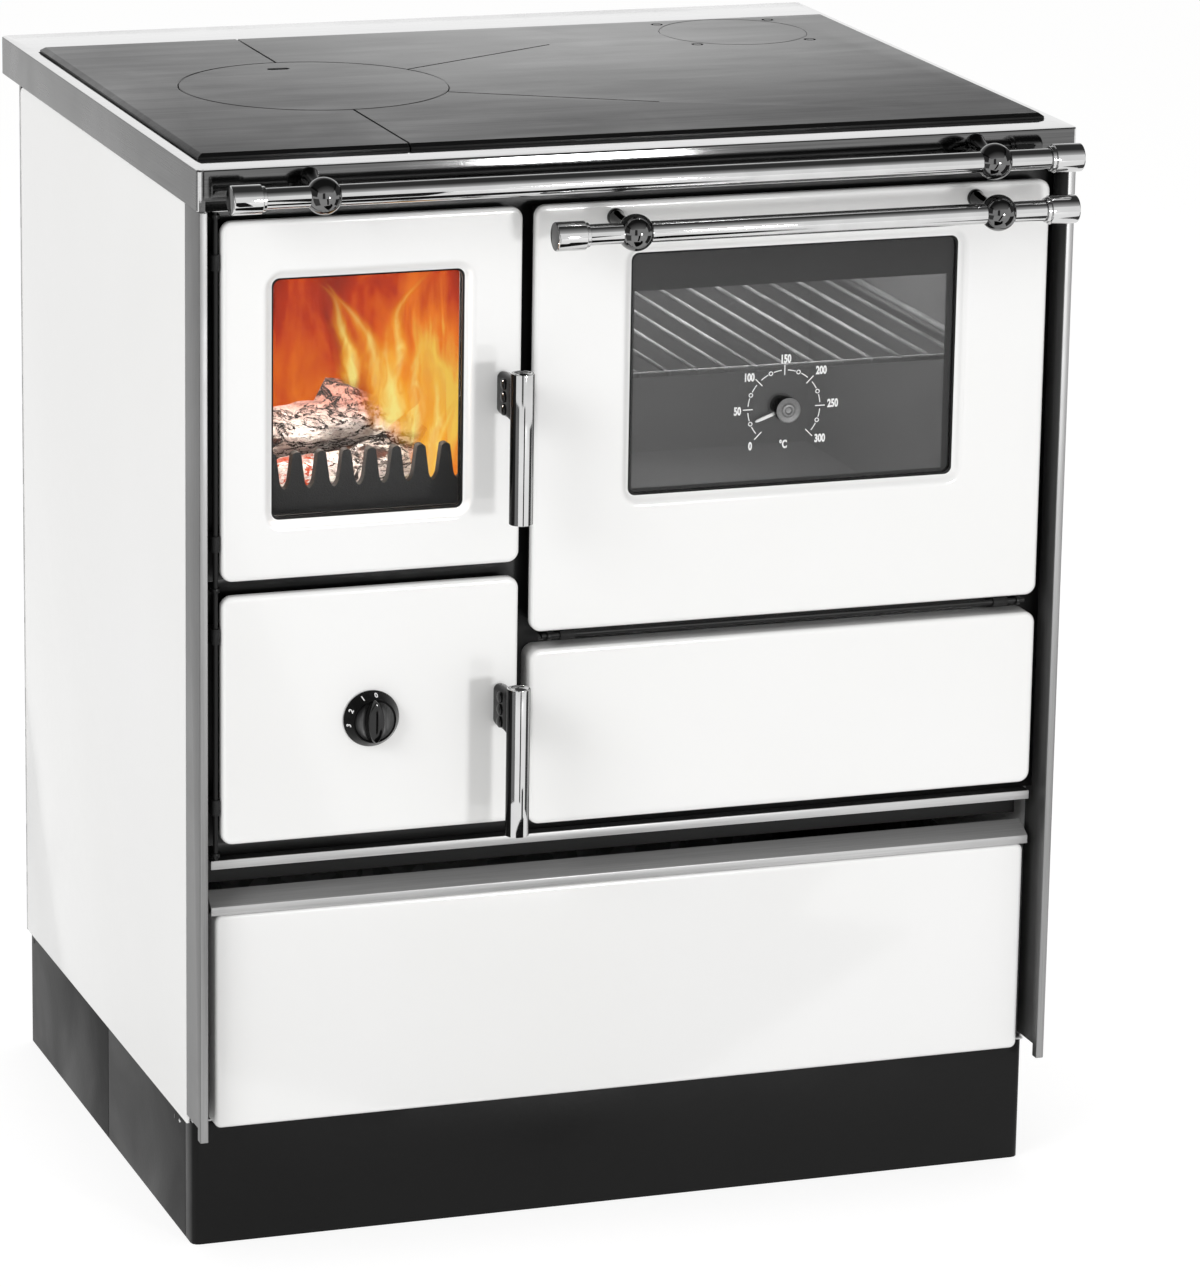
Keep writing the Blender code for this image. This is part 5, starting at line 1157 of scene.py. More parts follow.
def flue_screws():
    """Grooves round the four flush screws of the flue cover, and their slots."""
    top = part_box("flue_cover")[1][2]
    deep = top - 0.0014
    clear = top + 0.0004
    groove = [(deep, 0.0032), (clear, 0.0032), (clear, 0.0050), (deep, 0.0050)]
    bm = bmesh.new()
    for k in range(4):
        a = math.radians(45 + 90 * k)
        x = FLUE_CENTRE[0] + FLUE_SCREW_RING * math.cos(a)
        y = FLUE_CENTRE[1] + FLUE_SCREW_RING * math.sin(a)
        turn_shape(bm, groove, (x, y, 0), "z", 32, ring=True)
        slab(bm, (x - 0.0026, y - 0.0005, top - 0.0010), (x + 0.0026, y + 0.0005, clear))
    return bm


def steel_piece(node, bm, cutters=()):
    """Piece of rolled steel with dark sides below the eased edge of its top."""
    name = f"{node}_steel"
    mesh = carved(name, bm, cutters) if cutters else new_mesh(bm, name)
    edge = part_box(node)[1][2] - HOB_EASE
    finishes = [FINISHES["hob_steel"], HOB_EDGE]
    made = add_piece(name, mesh, finishes, body_of(node), (node,))
    colour_faces(made, lambda face: not (face.normal.z > 0.55 and face.center.z > edge))


def hob_plates():
    steel_piece("hob_plate_left", plate_blank("hob_plate_left", True, False), [lid_hole()])
    cutters = [lid_hole(), flue_hole(), slot_cutter(1), slot_cutter(-1), flue_screws()]
    steel_piece("hob_plate_right", plate_blank("hob_plate_right", False, True), cutters)


def hob_lid():
    low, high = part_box("hob_lid")
    top = high[2]
    seat = top - 0.0050
    inner = LID_RADIUS - HOB_LEDGE
    profile = [(low[2], 0.0), (low[2], inner - 0.0012), (seat, inner - 0.0008), (seat, LID_RADIUS)]
    profile += [(top - 0.0006, LID_RADIUS), (top, LID_RADIUS - 0.0008), (top, 0.0)]
    x = LID_CENTRE[0] + LID_NOTCH[0]
    y = LID_CENTRE[1] + LID_NOTCH[1]
    half = (LID_NOTCH[2] / 2, LID_NOTCH[3] / 2)
    loops = []
    for level, by in ((top - 0.003, 0.0008), (top - 0.0006, 0.0), (top + 0.0004, -0.0008)):
        span_x = (x - half[0] + by, x + half[0] - by)
        span_y = (y - half[1] + by, y + half[1] - by)
        loops.append(corner_loop(span_x, span_y, half[1] - by - 1e-4, level, "z", 6))
    steel_piece("hob_lid", turned(profile, (*LID_CENTRE, 0), "z", 128), [skinned(loops)])


def flue_cover():
    low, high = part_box("flue_cover")
    top = high[2]
    profile = [(low[2], 0.0), (low[2], FLUE_RADIUS), (top - 0.0005, FLUE_RADIUS), (top, FLUE_RADIUS - 0.0007)]
    steel_piece("flue_cover", turned([*profile, (top, 0.0)], (*FLUE_CENTRE, 0), "z", 96))


hob_frame()
hob_plates()
hob_lid()
flue_cover()


# chrome rails and levers

ROD_RADIUS = 0.008
CAP_RADIUS = 0.011
CAP_COLLAR = (0.0095, 0.003)  # radius and length
CAP_SOCKET = 0.010  # depth of the bore that the rod's end sits in
ROD_GAP = 0.0002  # between a rod and the bore round it
BALL_RADIUS = 0.014
BALL_HALF = 0.0115  # half the ball's length along the rod
BOSS_RADIUS = 0.0068
# share of the neck's length, and its radius there
BALL_NECK = ((0.0, 0.0068), (0.12, 0.0058), (0.3, 0.0050), (0.75, 0.0050), (0.9, 0.0056), (1.0, 0.006))
GRIP_CHROME = 0.65  # the grip's chrome shell wraps this far round from its front
ARM_BACK = -0.2678  # Y where a lever's arm ends and its spindle starts
LEVER_BOSS = (0.0044, 0.0018)  # radius and rise of the bosses on a lever's side
LEVER_BOSS_Y = -0.2835
LEVER_BOSS_PITCH = 0.0098
LEVER_SPINDLE = 0.004
# share of the arm's depth, how far its outline is drawn in, and its corner
LEVER_ARM = (
    (0.0, 0.0022, 0.0030),
    (0.03, 0.0008, 0.0042),
    (0.09, 0.0, 0.0048),
    (0.45, 0.0006, 0.0046),
    (0.9, 0.0, 0.0048),
    (1.0, 0.0004, 0.0046),
)


def chrome_rod(node):
    low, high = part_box(node)
    profile = [(low[0], 0.0), (low[0], ROD_RADIUS), (high[0], ROD_RADIUS), (high[0], 0.0)]
    bm = turned(eased_profile(profile, 0.0006), middle_of(node), "x", 64)
    dress(f"{node}_polished", bm, node, "chrome")


def chrome_cap(node, sign):
    low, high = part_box(node)
    near, end = (low[0], high[0]) if sign > 0 else (high[0], low[0])
    collar = near + sign * CAP_COLLAR[1]
    socket = near + sign * CAP_SOCKET
    bore = ROD_RADIUS + ROD_GAP
    profile = [(socket, 0.0), (socket, bore), (near, bore), (near, CAP_COLLAR[0]), (collar, CAP_COLLAR[0])]
    profile += [(collar, CAP_RADIUS), (end, CAP_RADIUS), (end, 0.0)]
    bm = turned(eased_profile(profile, 0.0014, 4), middle_of(node), "x", 64)
    made = dress(f"{node}_polished", bm, node, "chrome", [FINISHES["chrome"], SHADED_CHROME])
    colour_faces(made, lambda face: face.normal.x * sign > 0.9 and abs(face.center.x - end) < 0.0004)


def tube_between(bm, start, end, profile, sides=32):
    """Turned shape along any line; the profile is (share of the length, radius)."""
    start = Vector(start)
    line = Vector(end) - start
    turn = line.to_track_quat("Z", "Y").to_matrix()
    rows = []
    for share, radius in profile:
        centre = start + line * share
        ring = [turn @ Vector((radius * math.cos(a), radius * math.sin(a), 0)) for a in round_angles(sides)]
        rows.append([centre + spot for spot in ring])
    bridge(bm, rows)


def dome_profile(base, radius, rise, steps):
    """Quarter round that stands out towards lower values."""
    points = [(base - rise * math.sin(a), radius * math.cos(a)) for a in quarter_angles(steps)]
    return [*points[:-1], (points[-1][0], 0.0)]


def ball_bracket(node, boss_rise):
    """Ball round the rod, and a waisted neck that leans up to a domed boss on the face behind."""
    low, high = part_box(node)
    x = middle_of(node)[0]
    face = high[1]
    rod_y = low[1] + BALL_RADIUS
    rod_z = middle_of(node.split("_bracket")[0] + "_rod")[2]
    rings = 26
    lean = math.acos(BALL_HALF / BALL_RADIUS)
    inner = ROD_RADIUS + ROD_GAP
    profile = [(x - BALL_HALF, inner)]
    for k in range(rings + 1):
        a = lean + (math.pi - 2 * lean) * k / rings
        profile.append((x - BALL_RADIUS * math.cos(a), BALL_RADIUS * math.sin(a)))
    profile.append((x + BALL_HALF, inner))
    bm = turned(profile, (0, rod_y, rod_z), "x", 64, ring=True)
    boss_z = rod_z + boss_rise
    start = Vector((x, rod_y + 0.010, rod_z + boss_rise * 0.35))
    end = Vector((x, face - BOSS_RADIUS * 0.5, boss_z))
    tube_between(bm, start, end, BALL_NECK)
    boss = [(face, 0.0), *dome_profile(face, BOSS_RADIUS, BOSS_RADIUS, 8)]
    turn_shape(bm, boss, (x, 0, boss_z), "y", 40)
    # the ball takes the chrome with painted dark reflection
    made = dress(f"{node}_polished", bm, node, "chrome", [DARKENED_CHROME, SHADED_CHROME])
    reach = BALL_RADIUS + 0.0006
    colour_faces(made, lambda face: math.dist(face.center, (x, rod_y, rod_z)) >= reach)


for bar, boss_rise in (("towel_rail", 0.0083), ("oven_handle", 0.003)):
    chrome_rod(f"{bar}_rod")
    chrome_cap(f"{bar}_cap_left", -1)
    chrome_cap(f"{bar}_cap_right", 1)
    ball_bracket(f"{bar}_bracket_left", boss_rise)
    ball_bracket(f"{bar}_bracket_right", boss_rise)


def lever_grip(door):
    """Tube of the grip: chrome in front and black behind."""
    node = f"{door}_lever_grip"
    low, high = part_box(node)
    radius = (high[0] - low[0]) / 2
    deep = radius - 0.0022
    rim = radius - 0.0014
    foot = low[2] + 0.0015
    head = high[2] - 0.0015
    profile = [(foot, 0.0), (foot, deep), (low[2], rim), (low[2], radius)]
    profile += [(high[2], radius), (high[2], rim), (head, deep), (head, 0.0)]
    bm = turned(eased_profile(profile, 0.0007), middle_of(node), "z", 72)
    made = dress(f"{node}_polished", bm, node, "chrome", [FINISHES["chrome"], FINISHES["black_plastic"]])
    colour_faces(made, lambda face: face.normal.y > -GRIP_CHROME and abs(face.normal.z) < 0.3)


def lever_bracket(door):
    """Black rounded arm with three bosses on its side, and its spindle."""
    node = f"{door}_lever_bracket"
    low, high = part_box(node)
    side = low[0]
    middle_x, _, pivot_z = middle_of(node)
    loops = []
    for share, by, corner in LEVER_ARM:
        level = low[1] + (ARM_BACK - low[1]) * share
        x, _, z = (inset(span_, by) for span_ in zip(low, high))
        loops.append(corner_loop(x, z, corner, level))
    bm = skinned(loops)
    radius, rise = LEVER_BOSS
    boss = [(side + 0.001, 0.0), (side + 0.001, radius), *dome_profile(side, radius, rise, 6)]
    for step in (-1, 0, 1):
        turn_shape(bm, boss, (0, LEVER_BOSS_Y, pivot_z + step * LEVER_BOSS_PITCH), "x", 28)
    front = ARM_BACK - 0.001
    spindle = [(front, 0.0), (front, LEVER_SPINDLE), (high[1], LEVER_SPINDLE), (high[1], 0.0)]
    turn_shape(bm, spindle, (middle_x, 0, pivot_z), "y", 24)
    made = dress(f"{node}_moulded", bm, node, "black_plastic", [FINISHES["black_plastic"], GLOSS_BLACK])
    colour_faces(made, lambda face: face.center.x < side + 0.0001 and abs(face.normal.x) < 0.9999)


def lever_tongue(door):
    """Steel tongue behind the liner, on the lever's spindle."""
    node = f"{door}_lever_bracket"
    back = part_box(node)[1][1]
    middle_x, _, pivot_z = middle_of(node)
    x = (middle_x - 0.005, middle_x + 0.005)
    z = (pivot_z - 0.0165, pivot_z + 0.003)
    loops = [corner_loop(x, z, 0.003, level, "y", 5) for level in (back - 0.003, back)]
    name = f"{door}_lever_tongue"
    add_piece(name, new_mesh(skinned(loops), name), [FINISHES["steel"]], body_of(node))


for door_name in ("fire", "ash"):
    lever_grip(door_name)
    lever_bracket(door_name)
    lever_tongue(door_name)


# air knob

KNOB_FACE = 0.0058  # depth of the knob's round face behind the tip of its bar
KNOB_BAR = (0.0066, 0.0165)  # half the bar's width and length
NUMERAL_SIZE = 0.0066
# the knob's numerals and their turn from the top towards the left, in radians
KNOB_NUMERALS = (("0", -0.11), ("1", 0.44), ("2", 1.12), ("3", 1.71))


def air_knob():
    low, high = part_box("air_knob")
    x, z = KNOB_CENTRE
    back = high[1]
    tip = low[1]
    face = tip + KNOB_FACE
    skirt_back = (back - 0.0026, 0.0214)
    skirt_front = (face - 0.0002, 0.0170)
    profile = [(back, 0.0), (back, 0.0218), (back - 0.0012, 0.0220), skirt_back, skirt_front]
    profile += [(face - 0.0006, 0.0162), (face, 0.0154), (face + 0.0012, 0.0135)]
    profile += [(face + 0.0016, 0.0100), (face + 0.0017, 0.0)]
    bm = turned(profile, (x, 0, z), "y", 72)
    bar = [(face + 0.0025, 1.12), (face, 1.06), (tip + 0.0012, 0.96), (tip + 0.0003, 0.86), (tip, 0.74)]
    loops = []
    for level, grow in bar:
        loop = []
        for a in round_angles(48):
            across = KNOB_BAR[0] * grow * math.copysign(abs(math.cos(a)) ** 1.25, math.cos(a))
            up = KNOB_BAR[1] * (1 - (1 - grow) * 0.35) * math.sin(a)
            loop.append(Vector((x + across, level, z + up)))
        loops.append(loop)
    bridge(bm, loops)
    finishes = [FINISHES["black_plastic"], KNOB_METAL, GLOSS_BLACK]
    made = dress("air_knob_moulded", bm, "air_knob", "black_plastic", finishes)

    def finish_of(polygon):
        level = polygon.center.y
        reach = math.hypot(polygon.center.x - x, polygon.center.z - z)
        if face < level < face + 0.0018 and reach < 0.0150 and polygon.normal.y < -0.5:
            return 1
        return 2 if level < face - 0.0003 and reach < 0.0165 else 0

    colour_faces(made, finish_of)
    lean = math.atan2(skirt_back[0] - skirt_front[0], skirt_back[1] - skirt_front[1])
    radius = (skirt_back[1] + skirt_front[1]) / 2 + 0.0002 * math.sin(lean)
    level = (skirt_back[0] + skirt_front[0]) / 2 - 0.0002 * math.cos(lean)
    slope = Matrix.Rotation(-lean, 4, "X")
    numerals = []
    for text, turn in KNOB_NUMERALS:
        spot = (x - radius * math.sin(turn), z + radius * math.cos(turn))
        numerals.append(lettering(text, NUMERAL_SIZE, spot, level, 0.80, 0.00020, turn, slope))
    mesh = gathered(numerals, "air_knob_numerals")
    add_piece("air_knob_numerals", mesh, [PRINT], body_of("air_knob"))


air_knob()


# oven thermometer and its printed dial

DIAL_CENTRE = (0.118, 0.641)
DIAL_RADIUS = 0.0295
DIAL_START = math.radians(225)
DIAL_STEP = math.radians(-45)
DASH_LENGTH = 0.0065
DASH_WIDTH = 0.0007
TICK = (0.0080, 0.0008)  # length and width
DOT = (0.0018, 0.0011)  # outer and inner radius
LABEL_SIZE = 0.0086
# depth behind the dial's front, and radius
DIAL_HEAD = (
    (0.0013, 0.0), (0.0011, 0.0022), (0.0, 0.0032), (0.0002, 0.0046), (0.0012, 0.0056), (0.0008, 0.0072),
    (0.0004, 0.0090), (0.0008, 0.0098), (0.0020, 0.0100), (0.0060, 0.0100), (0.0060, 0.0030),
    (0.0093, 0.0030), (0.0093, 0.0060), (0.0107, 0.0060), (0.0107, 0.0030),
)
POINTER_REST = math.radians(200)  # from X towards Z
# distance from the pointer's axis, and half its width there
POINTER_SHAPE = ((0.0050, 0.0013), (0.0200, 0.0013), (0.0246, 0.0010), (0.0262, 0.0003))
# text of the scale, then its place to the right of and above the dial's centre
DIAL_LABELS = (
    ("150", 0.0006, 0.038),
    ("100", -0.029, 0.025),
    ("200", 0.030, 0.0275),
    ("50", -0.038, -0.001),
    ("250", 0.040, 0.001),
    ("0", -0.027, -0.029),
    ("300", 0.030, -0.026),
    ("°C", 0.0, -0.029),
)


def thermometer_head():
    x, z = DIAL_CENTRE
    low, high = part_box("thermometer_body")
    front = low[1]
    nut = high[1] - 0.005
    profile = [(front + behind, radius) for behind, radius in DIAL_HEAD]
    profile += [(nut, 0.0030), (nut, 0.0080), (high[1], 0.0080), (high[1], 0.0)]
    bm = turned(profile, (x, 0, z), "y", 64)
    finishes = [FINISHES["black_plastic"], DIAL_METAL]
    made = dress("thermometer_head", bm, "thermometer_body", "black_plastic", finishes)
    colour_faces(made, lambda face: face.center.y < front + 0.0016 and face.normal.y < -0.3)


def thermometer_needle():
    x, z = DIAL_CENTRE
    low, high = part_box("thermometer_pointer")
    hub = [(low[1], 0.0034), (low[1], 0.0055), (high[1], 0.0055), (high[1], 0.0034)]
    bm = turned(hub, (x, 0, z), "y", 40, ring=True)
    along = Vector((math.cos(POINTER_REST), 0, math.sin(POINTER_REST)))
    across = Vector((-math.sin(POINTER_REST), 0, math.cos(POINTER_REST)))
    centre = Vector((x, 0, z))
    loops = []
    for behind, by in ((0.0004, 0.0002), (0.0007, 0.0), (0.0014, 0.0)):
        level = Vector((0, low[1] + behind, 0))
        upper = [centre + along * reach + across * (half - by) + level for reach, half in POINTER_SHAPE]
        lower = [centre + along * reach - across * (half - by) + level for reach, half in POINTER_SHAPE]
        loops.append(upper + lower[::-1])
    bridge(bm, loops)
    dress("thermometer_needle", bm, "thermometer_pointer", "black_plastic", [NEEDLE_METAL])


def tick(length, width):
    """Printed mark along X, raised just off the glass."""
    bm = bmesh.new()
    slab(bm, (-length / 2, -PRINT_RISE, -width / 2), (length / 2, 0.0, width / 2))
    return bm


def small_circle(outer, inner):
    profile = [(-PRINT_RISE, inner), (-PRINT_RISE, outer), (0.0, outer), (0.0, inner)]
    return turned(profile, (0, 0, 0), "y", 20, ring=True)


def dash(middle, glass):
    """Short curved stroke of the scale's circle."""
    x, z = DIAL_CENTRE
    inner = DIAL_RADIUS - DASH_WIDTH / 2
    outer = DIAL_RADIUS + DASH_WIDTH / 2
    rows = []
    for share in (0.0, 0.25, 0.5, 0.75, 1.0):
        a = middle + (share - 0.5) * DASH_LENGTH / DIAL_RADIUS
        row = []
        for radius, level in ((inner, 0.0), (outer, 0.0), (outer, -PRINT_RISE), (inner, -PRINT_RISE)):
            row.append(Vector((x + radius * math.cos(a), glass + level, z + radius * math.sin(a))))
        rows.append(row)
    return new_mesh(skinned(rows), "dash")


def dial():
    """Thermometer's scale, printed white on the oven glass."""
    x, z = DIAL_CENTRE
    glass = GLASS_FACE - 0.00002
    half_step = DIAL_STEP / 2
    ring = {"centre": (x, glass, z), "radius": DIAL_RADIUS, "turn": DIAL_STEP}
    marks = [
        repeated(RING_OF_COPIES, tick(*TICK), PRINT, count=7, start=DIAL_START, **ring),
        repeated(RING_OF_COPIES, small_circle(*DOT), PRINT, count=6, start=DIAL_START + half_step, **ring),
    ]
    marks += [dash(DIAL_START + half_step * (k + 0.5), glass) for k in range(12)]
    for text, right, up in DIAL_LABELS:
        marks.append(lettering(text, LABEL_SIZE, (x + right, z + up), glass, 0.68, 0.00036))
    mesh = gathered(marks, "oven_dial_print")
    add_piece("oven_dial_print", mesh, [PRINT], body_of("oven_door_glass"))


thermometer_head()
thermometer_needle()
dial()


# oven rack

RACK_BAR_RADIUS = 0.0024
RACK_WIRE_RADIUS = 0.0016
RACK_WIRES = 14
RACK_WIRE_INSET = 0.005


def oven_rack():
    """Bar frame with wires from front to back, their ends standing over the front bar."""
    low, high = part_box("oven_rack")
    middle = middle_of("oven_rack")[2]
    bar = RACK_BAR_RADIUS
    wire = RACK_WIRE_RADIUS
    x = (low[0] + bar, high[0] - bar)
    y = (low[1] + bar, high[1] - bar)
    path = corner_loop(x, y, 0.008, middle, "z", 5)
    rows = []
    for i, point in enumerate(path):
        ahead = path[(i + 1) % len(path)] - path[i - 1]
        out = Vector((ahead.y, -ahead.x, 0)).normalized()
        ring = [(out * bar * math.cos(a), Vector((0, 0, bar * math.sin(a)))) for a in round_angles(14)]
        rows.append([point + sideways + up for sideways, up in ring])
    meshes = [new_mesh(skinned(rows, ring=True), "rack_frame")]
    pitch = (high[0] - low[0] - 2 * RACK_WIRE_INSET) / (RACK_WIRES + 1)
    left = low[0] + RACK_WIRE_INSET + pitch
    level = min(middle + bar - wire * 0.4, high[2] - wire)
    bm = bmesh.new()
    profile = [(0.0, wire * 0.6), (0.003, wire), (0.997, wire), (1.0, wire * 0.6)]
    tube_between(bm, (0, y[0] - bar * 0.6, 0), (0, y[1] + bar * 0.6, 0), profile, 12)
    row = {"count": RACK_WIRES, "step": (pitch, 0, 0)}
    meshes.append(repeated(ROW_OF_COPIES, bm, RACK_STEEL, first=(left, 0, level), **row))
    bm = bmesh.new()
    bmesh.ops.create_icosphere(bm, subdivisions=2, radius=wire * 1.5)
    ends = (left, y[0] - bar * 0.4, min(level, high[2] - wire * 1.5))
    meshes.append(repeated(ROW_OF_COPIES, bm, RACK_STEEL, first=ends, **row))
    mesh = gathered(meshes, "oven_rack_wires")
    made = add_piece("oven_rack_wires", mesh, [RACK_STEEL, RACK_BAR], "cooker", ("oven_rack",))
    # the front bar's front faces take the painted highlight
    colour_faces(made, lambda face: face.center.y < y[0] + bar * 0.7)


oven_rack()


# firebox: retainer comb, logs, embers and flames

COMB_MIDDLE = -0.2016
COMB_PITCH = 0.0196
COMB_FINGERS = 9
COMB_VALLEY = 0.5943
COMB_ROUND = 0.0034  # half width of a finger's rounded top
COMB_FOOT = 0.0061  # and where its side meets the rounded valley
COMB_FILLET = 0.0052
COMB_CAP = 0.0026


def comb_height(x, valley, tip):
    """Top edge of the retainer: rounded fingers with rounded valleys."""
    index = round((x - COMB_MIDDLE) / COMB_PITCH)
    if abs(index) > COMB_FINGERS // 2:
        return valley
    away = abs(x - (COMB_MIDDLE + index * COMB_PITCH))
    if away < COMB_ROUND:
        return tip - COMB_CAP * (1 - math.sqrt(1 - (away / COMB_ROUND) ** 2 * 0.96))
    shoulder = tip - COMB_CAP * 0.8
    foot = valley + COMB_FILLET
    if away < COMB_FOOT:
        return shoulder - (shoulder - foot) * (away - COMB_ROUND) / (COMB_FOOT - COMB_ROUND)
    t = (away - COMB_FOOT) / (COMB_PITCH / 2 - COMB_FOOT)
    return valley + COMB_FILLET * (1 - t) ** 2


def log_retainer():
    low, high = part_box("log_retainer")
    steps = 540
    outline = [(low[0], low[2])]
    for k in range(steps + 1):
        x = low[0] + (high[0] - low[0]) * k / steps
        outline.append((x, min(comb_height(x, COMB_VALLEY, high[2]), high[2])))
    outline.append((high[0], low[2]))
    bm = skinned([[Vector((x, y, z)) for x, z in outline] for y in (low[1], high[1])])
    rims = [e for e in bm.edges if e.calc_face_angle(0.0) > math.radians(60)]
    bmesh.ops.bevel(bm, geom=rims, offset=0.0012, segments=3, profile=0.5, affect="EDGES", clamp_overlap=True)
    dress("log_retainer_comb", bm, "log_retainer", "cast_iron", [BLACK_IRON])


def rough_log(bm, start, end, radius, seed, flat):
    """Split log: a rough round stick with one flattened side."""
    start = Vector(start)
    line = Vector(end) - start
    turn = line.to_track_quat("Z", "Y").to_matrix()
    rows = []
    count = 22
    for i in range(count + 1):
        t = i / count
        taper = 1 - 0.22 * abs(2 * t - 1) ** 6
        row = []
        for a in round_angles(26):
            spot = Vector((math.cos(a) * 2.1, math.sin(a) * 2.1, t * 5 + seed * 7.3))
            grow = 1 + 0.20 * noise.noise(spot) + 0.10 * noise.noise(spot * 3.1)
            facing = math.cos(a - 1.1) - 0.55
            if facing > 0:
                grow *= 1 - flat * facing
            across = Vector((math.cos(a), math.sin(a), 0)) * radius * grow * taper
            row.append(start + line * t + turn @ across)
        rows.append(row)
    bridge(bm, rows)


# each log's two ends, radius, pattern and how flat its split side is
LOGS = (
    ((-0.272, -0.178, 0.582), (-0.146, -0.160, 0.580), 0.0300, 1, 0.5),
    ((-0.284, -0.128, 0.612), (-0.178, -0.142, 0.628), 0.0225, 2, 0.6),
    ((-0.212, -0.118, 0.640), (-0.140, -0.150, 0.602), 0.0215, 3, 0.4),
    ((-0.285, -0.050, 0.575), (-0.140, -0.060, 0.595), 0.0280, 4, 0.3),
    ((-0.250, -0.196, 0.560), (-0.160, -0.140, 0.606), 0.0180, 5, 0.4),
)
EMBER_COUNT = 90
GRATE_TOP = 0.5298


def loose_piece(name, bm, finish, crease, outward=True):
    """Fuel, fire or glow, fixed to the cooker; creases sharper than the angle, in degrees, stay."""
    mesh = new_mesh(bm, name, outward)
    add_piece(name, mesh, [finish], "cooker", angle=math.radians(crease))


def fire_bed():
    bm = bmesh.new()
    for log in LOGS:
        rough_log(bm, *log)
    loose_piece("burning_logs", bm, BURNT_LOG, 70)

    rng = random.Random(11)
    bm = bmesh.new()
    for _ in range(EMBER_COUNT):
        size = rng.uniform(0.007, 0.013)
        x = rng.uniform(-0.282, -0.136)
        y = rng.uniform(-0.205, 0.08)
        z = GRATE_TOP + size * 0.8 + rng.uniform(0, 0.034) * (1 - abs(y + 0.10) / 0.2)
        turn = Euler([rng.uniform(0, 6) for _ in range(3)]).to_matrix().to_4x4()
        place = Matrix.Translation((x, y, z)) @ turn
        shape = bmesh.ops.create_icosphere(bm, subdivisions=2, radius=size, matrix=place)
        for vert in shape["verts"]:
            away = vert.co - Vector((x, y, z))
            vert.co += away * (0.35 * noise.noise(vert.co * 130) - 0.05)
    loose_piece("ember_bed", bm, EMBERS, 70)


def flame_tongue(bm, rise, edge, base, height, width, lean, twist, seed):
    """Curved ribbon of fire; its two attributes run from root to tip and from middle to side."""
    rows = 22
    columns = 10
    previous = None
    for i in range(rows + 1):
        t = i / rows
        sway = noise.noise(Vector((seed * 3.7, t * 2.3, 0.0))) * 0.022 * t
        centre = Vector(base) + Vector((lean * t * t + sway, 0.006 * math.sin(t * 5 + seed), height * t))
        shape = math.sin(math.pi * min(0.12 + t * 0.9, 1.0)) ** 0.75 * (1 - 0.45 * t)
        row = []
        for k in range(columns + 1):
            s = 2 * k / columns - 1
            across = s * width * max(shape, 0.02)
            bow = (1 - s * s) * width * 0.35 * shape
            turn = twist * t
            spot = centre + Vector((across * math.cos(turn), across * math.sin(turn) - bow, 0))
            vert = bm.verts.new(spot)
            vert[rise] = t
            vert[edge] = abs(s)
            row.append(vert)
        if previous:
            for k in range(columns):
                bm.faces.new((previous[k], previous[k + 1], row[k + 1], row[k]))
        previous = row


# each flame's root, height, half width, lean and twist
TONGUES = (
    ((-0.170, -0.150, 0.630), 0.112, 0.022, -0.050, 0.3),
    ((-0.168, -0.165, 0.618), 0.092, 0.036, -0.012, -0.3),
    ((-0.166, -0.145, 0.626), 0.120, 0.021, 0.040, 0.3),
    ((-0.152, -0.160, 0.606), 0.100, 0.030, 0.010, -0.2),
    ((-0.143, -0.180, 0.566), 0.128, 0.026, 0.008, -0.2),
    ((-0.138, -0.196, 0.552), 0.104, 0.018, 0.004, 0.2),
    ((-0.186, -0.130, 0.640), 0.098, 0.019, -0.034, 0.2),
)


def flames():
    """Sheets of flame over the logs, highest to the right of the middle."""
    bm = bmesh.new()
    rise = bm.verts.layers.float.new("rise")
    edge = bm.verts.layers.float.new("edge")
    for seed, tongue in enumerate(TONGUES, 1):
        flame_tongue(bm, rise, edge, *tongue, seed)
    loose_piece("flames", bm, FLAME, 180, outward=False)


# the glow's line seen from above, and the heights between which it stands
GLOW_LEFT = ((-0.2905, 0.02), (-0.285, 0.10))
GLOW_BACK = ((-0.22, 0.120), (-0.145, 0.10))
GLOW_RIGHT = ((-0.1285, 0.02), (-0.1275, -0.215))
GLOW_HEIGHTS = (0.535, 0.80)


def upright(first, second, low, high):
    """Corners of an upright sheet over a line on the floor."""
    return ((*first, low), (*second, low), (*second, high), (*first, high))


def add_face(bm, corners):
    bm.faces.new([bm.verts.new(corner) for corner in corners])


def painted_glow_wall():
    """Sheet of painted fire light that stands before the rear and right bricks."""
    path = GLOW_LEFT + GLOW_BACK + GLOW_RIGHT
    bm = bmesh.new()
    for first, second in zip(path, path[1:]):
        add_face(bm, upright(first, second, *GLOW_HEIGHTS))
    bmesh.ops.remove_doubles(bm, verts=bm.verts, dist=1e-6)
    bmesh.ops.subdivide_edges(bm, edges=bm.edges, cuts=3, use_grid_fill=True)
    loose_piece("painted_fire_glow", bm, PAINTED_FIRE_GLOW, 180, outward=False)


log_retainer()
fire_bed()
flames()
painted_glow_wall()


# studio: floor, world, lamps and camera

FLOOR = 14.0  # half the floor's side
WHITE = (1, 1, 1, 1)
WARM_WHITE = (1, 0.995, 0.985, 1)
FIRE_LAMP = (-0.235, -0.205, 0.745)
LEVER_FOOT = (-0.12, -0.31)  # below the levers' grips
RAIL_FOOT = (0.0, -0.36)  # below the rails


def flat_card(x, y, z):
    """Corners of a level sheet."""
    return ((x[0], y[0], z), (x[1], y[0], z), (x[1], y[1], z), (x[0], y[1], z))


def empty_material(name):
    made = bpy.data.materials.new(name)
    made.use_nodes = True
    made.node_tree.nodes.clear()
    return made


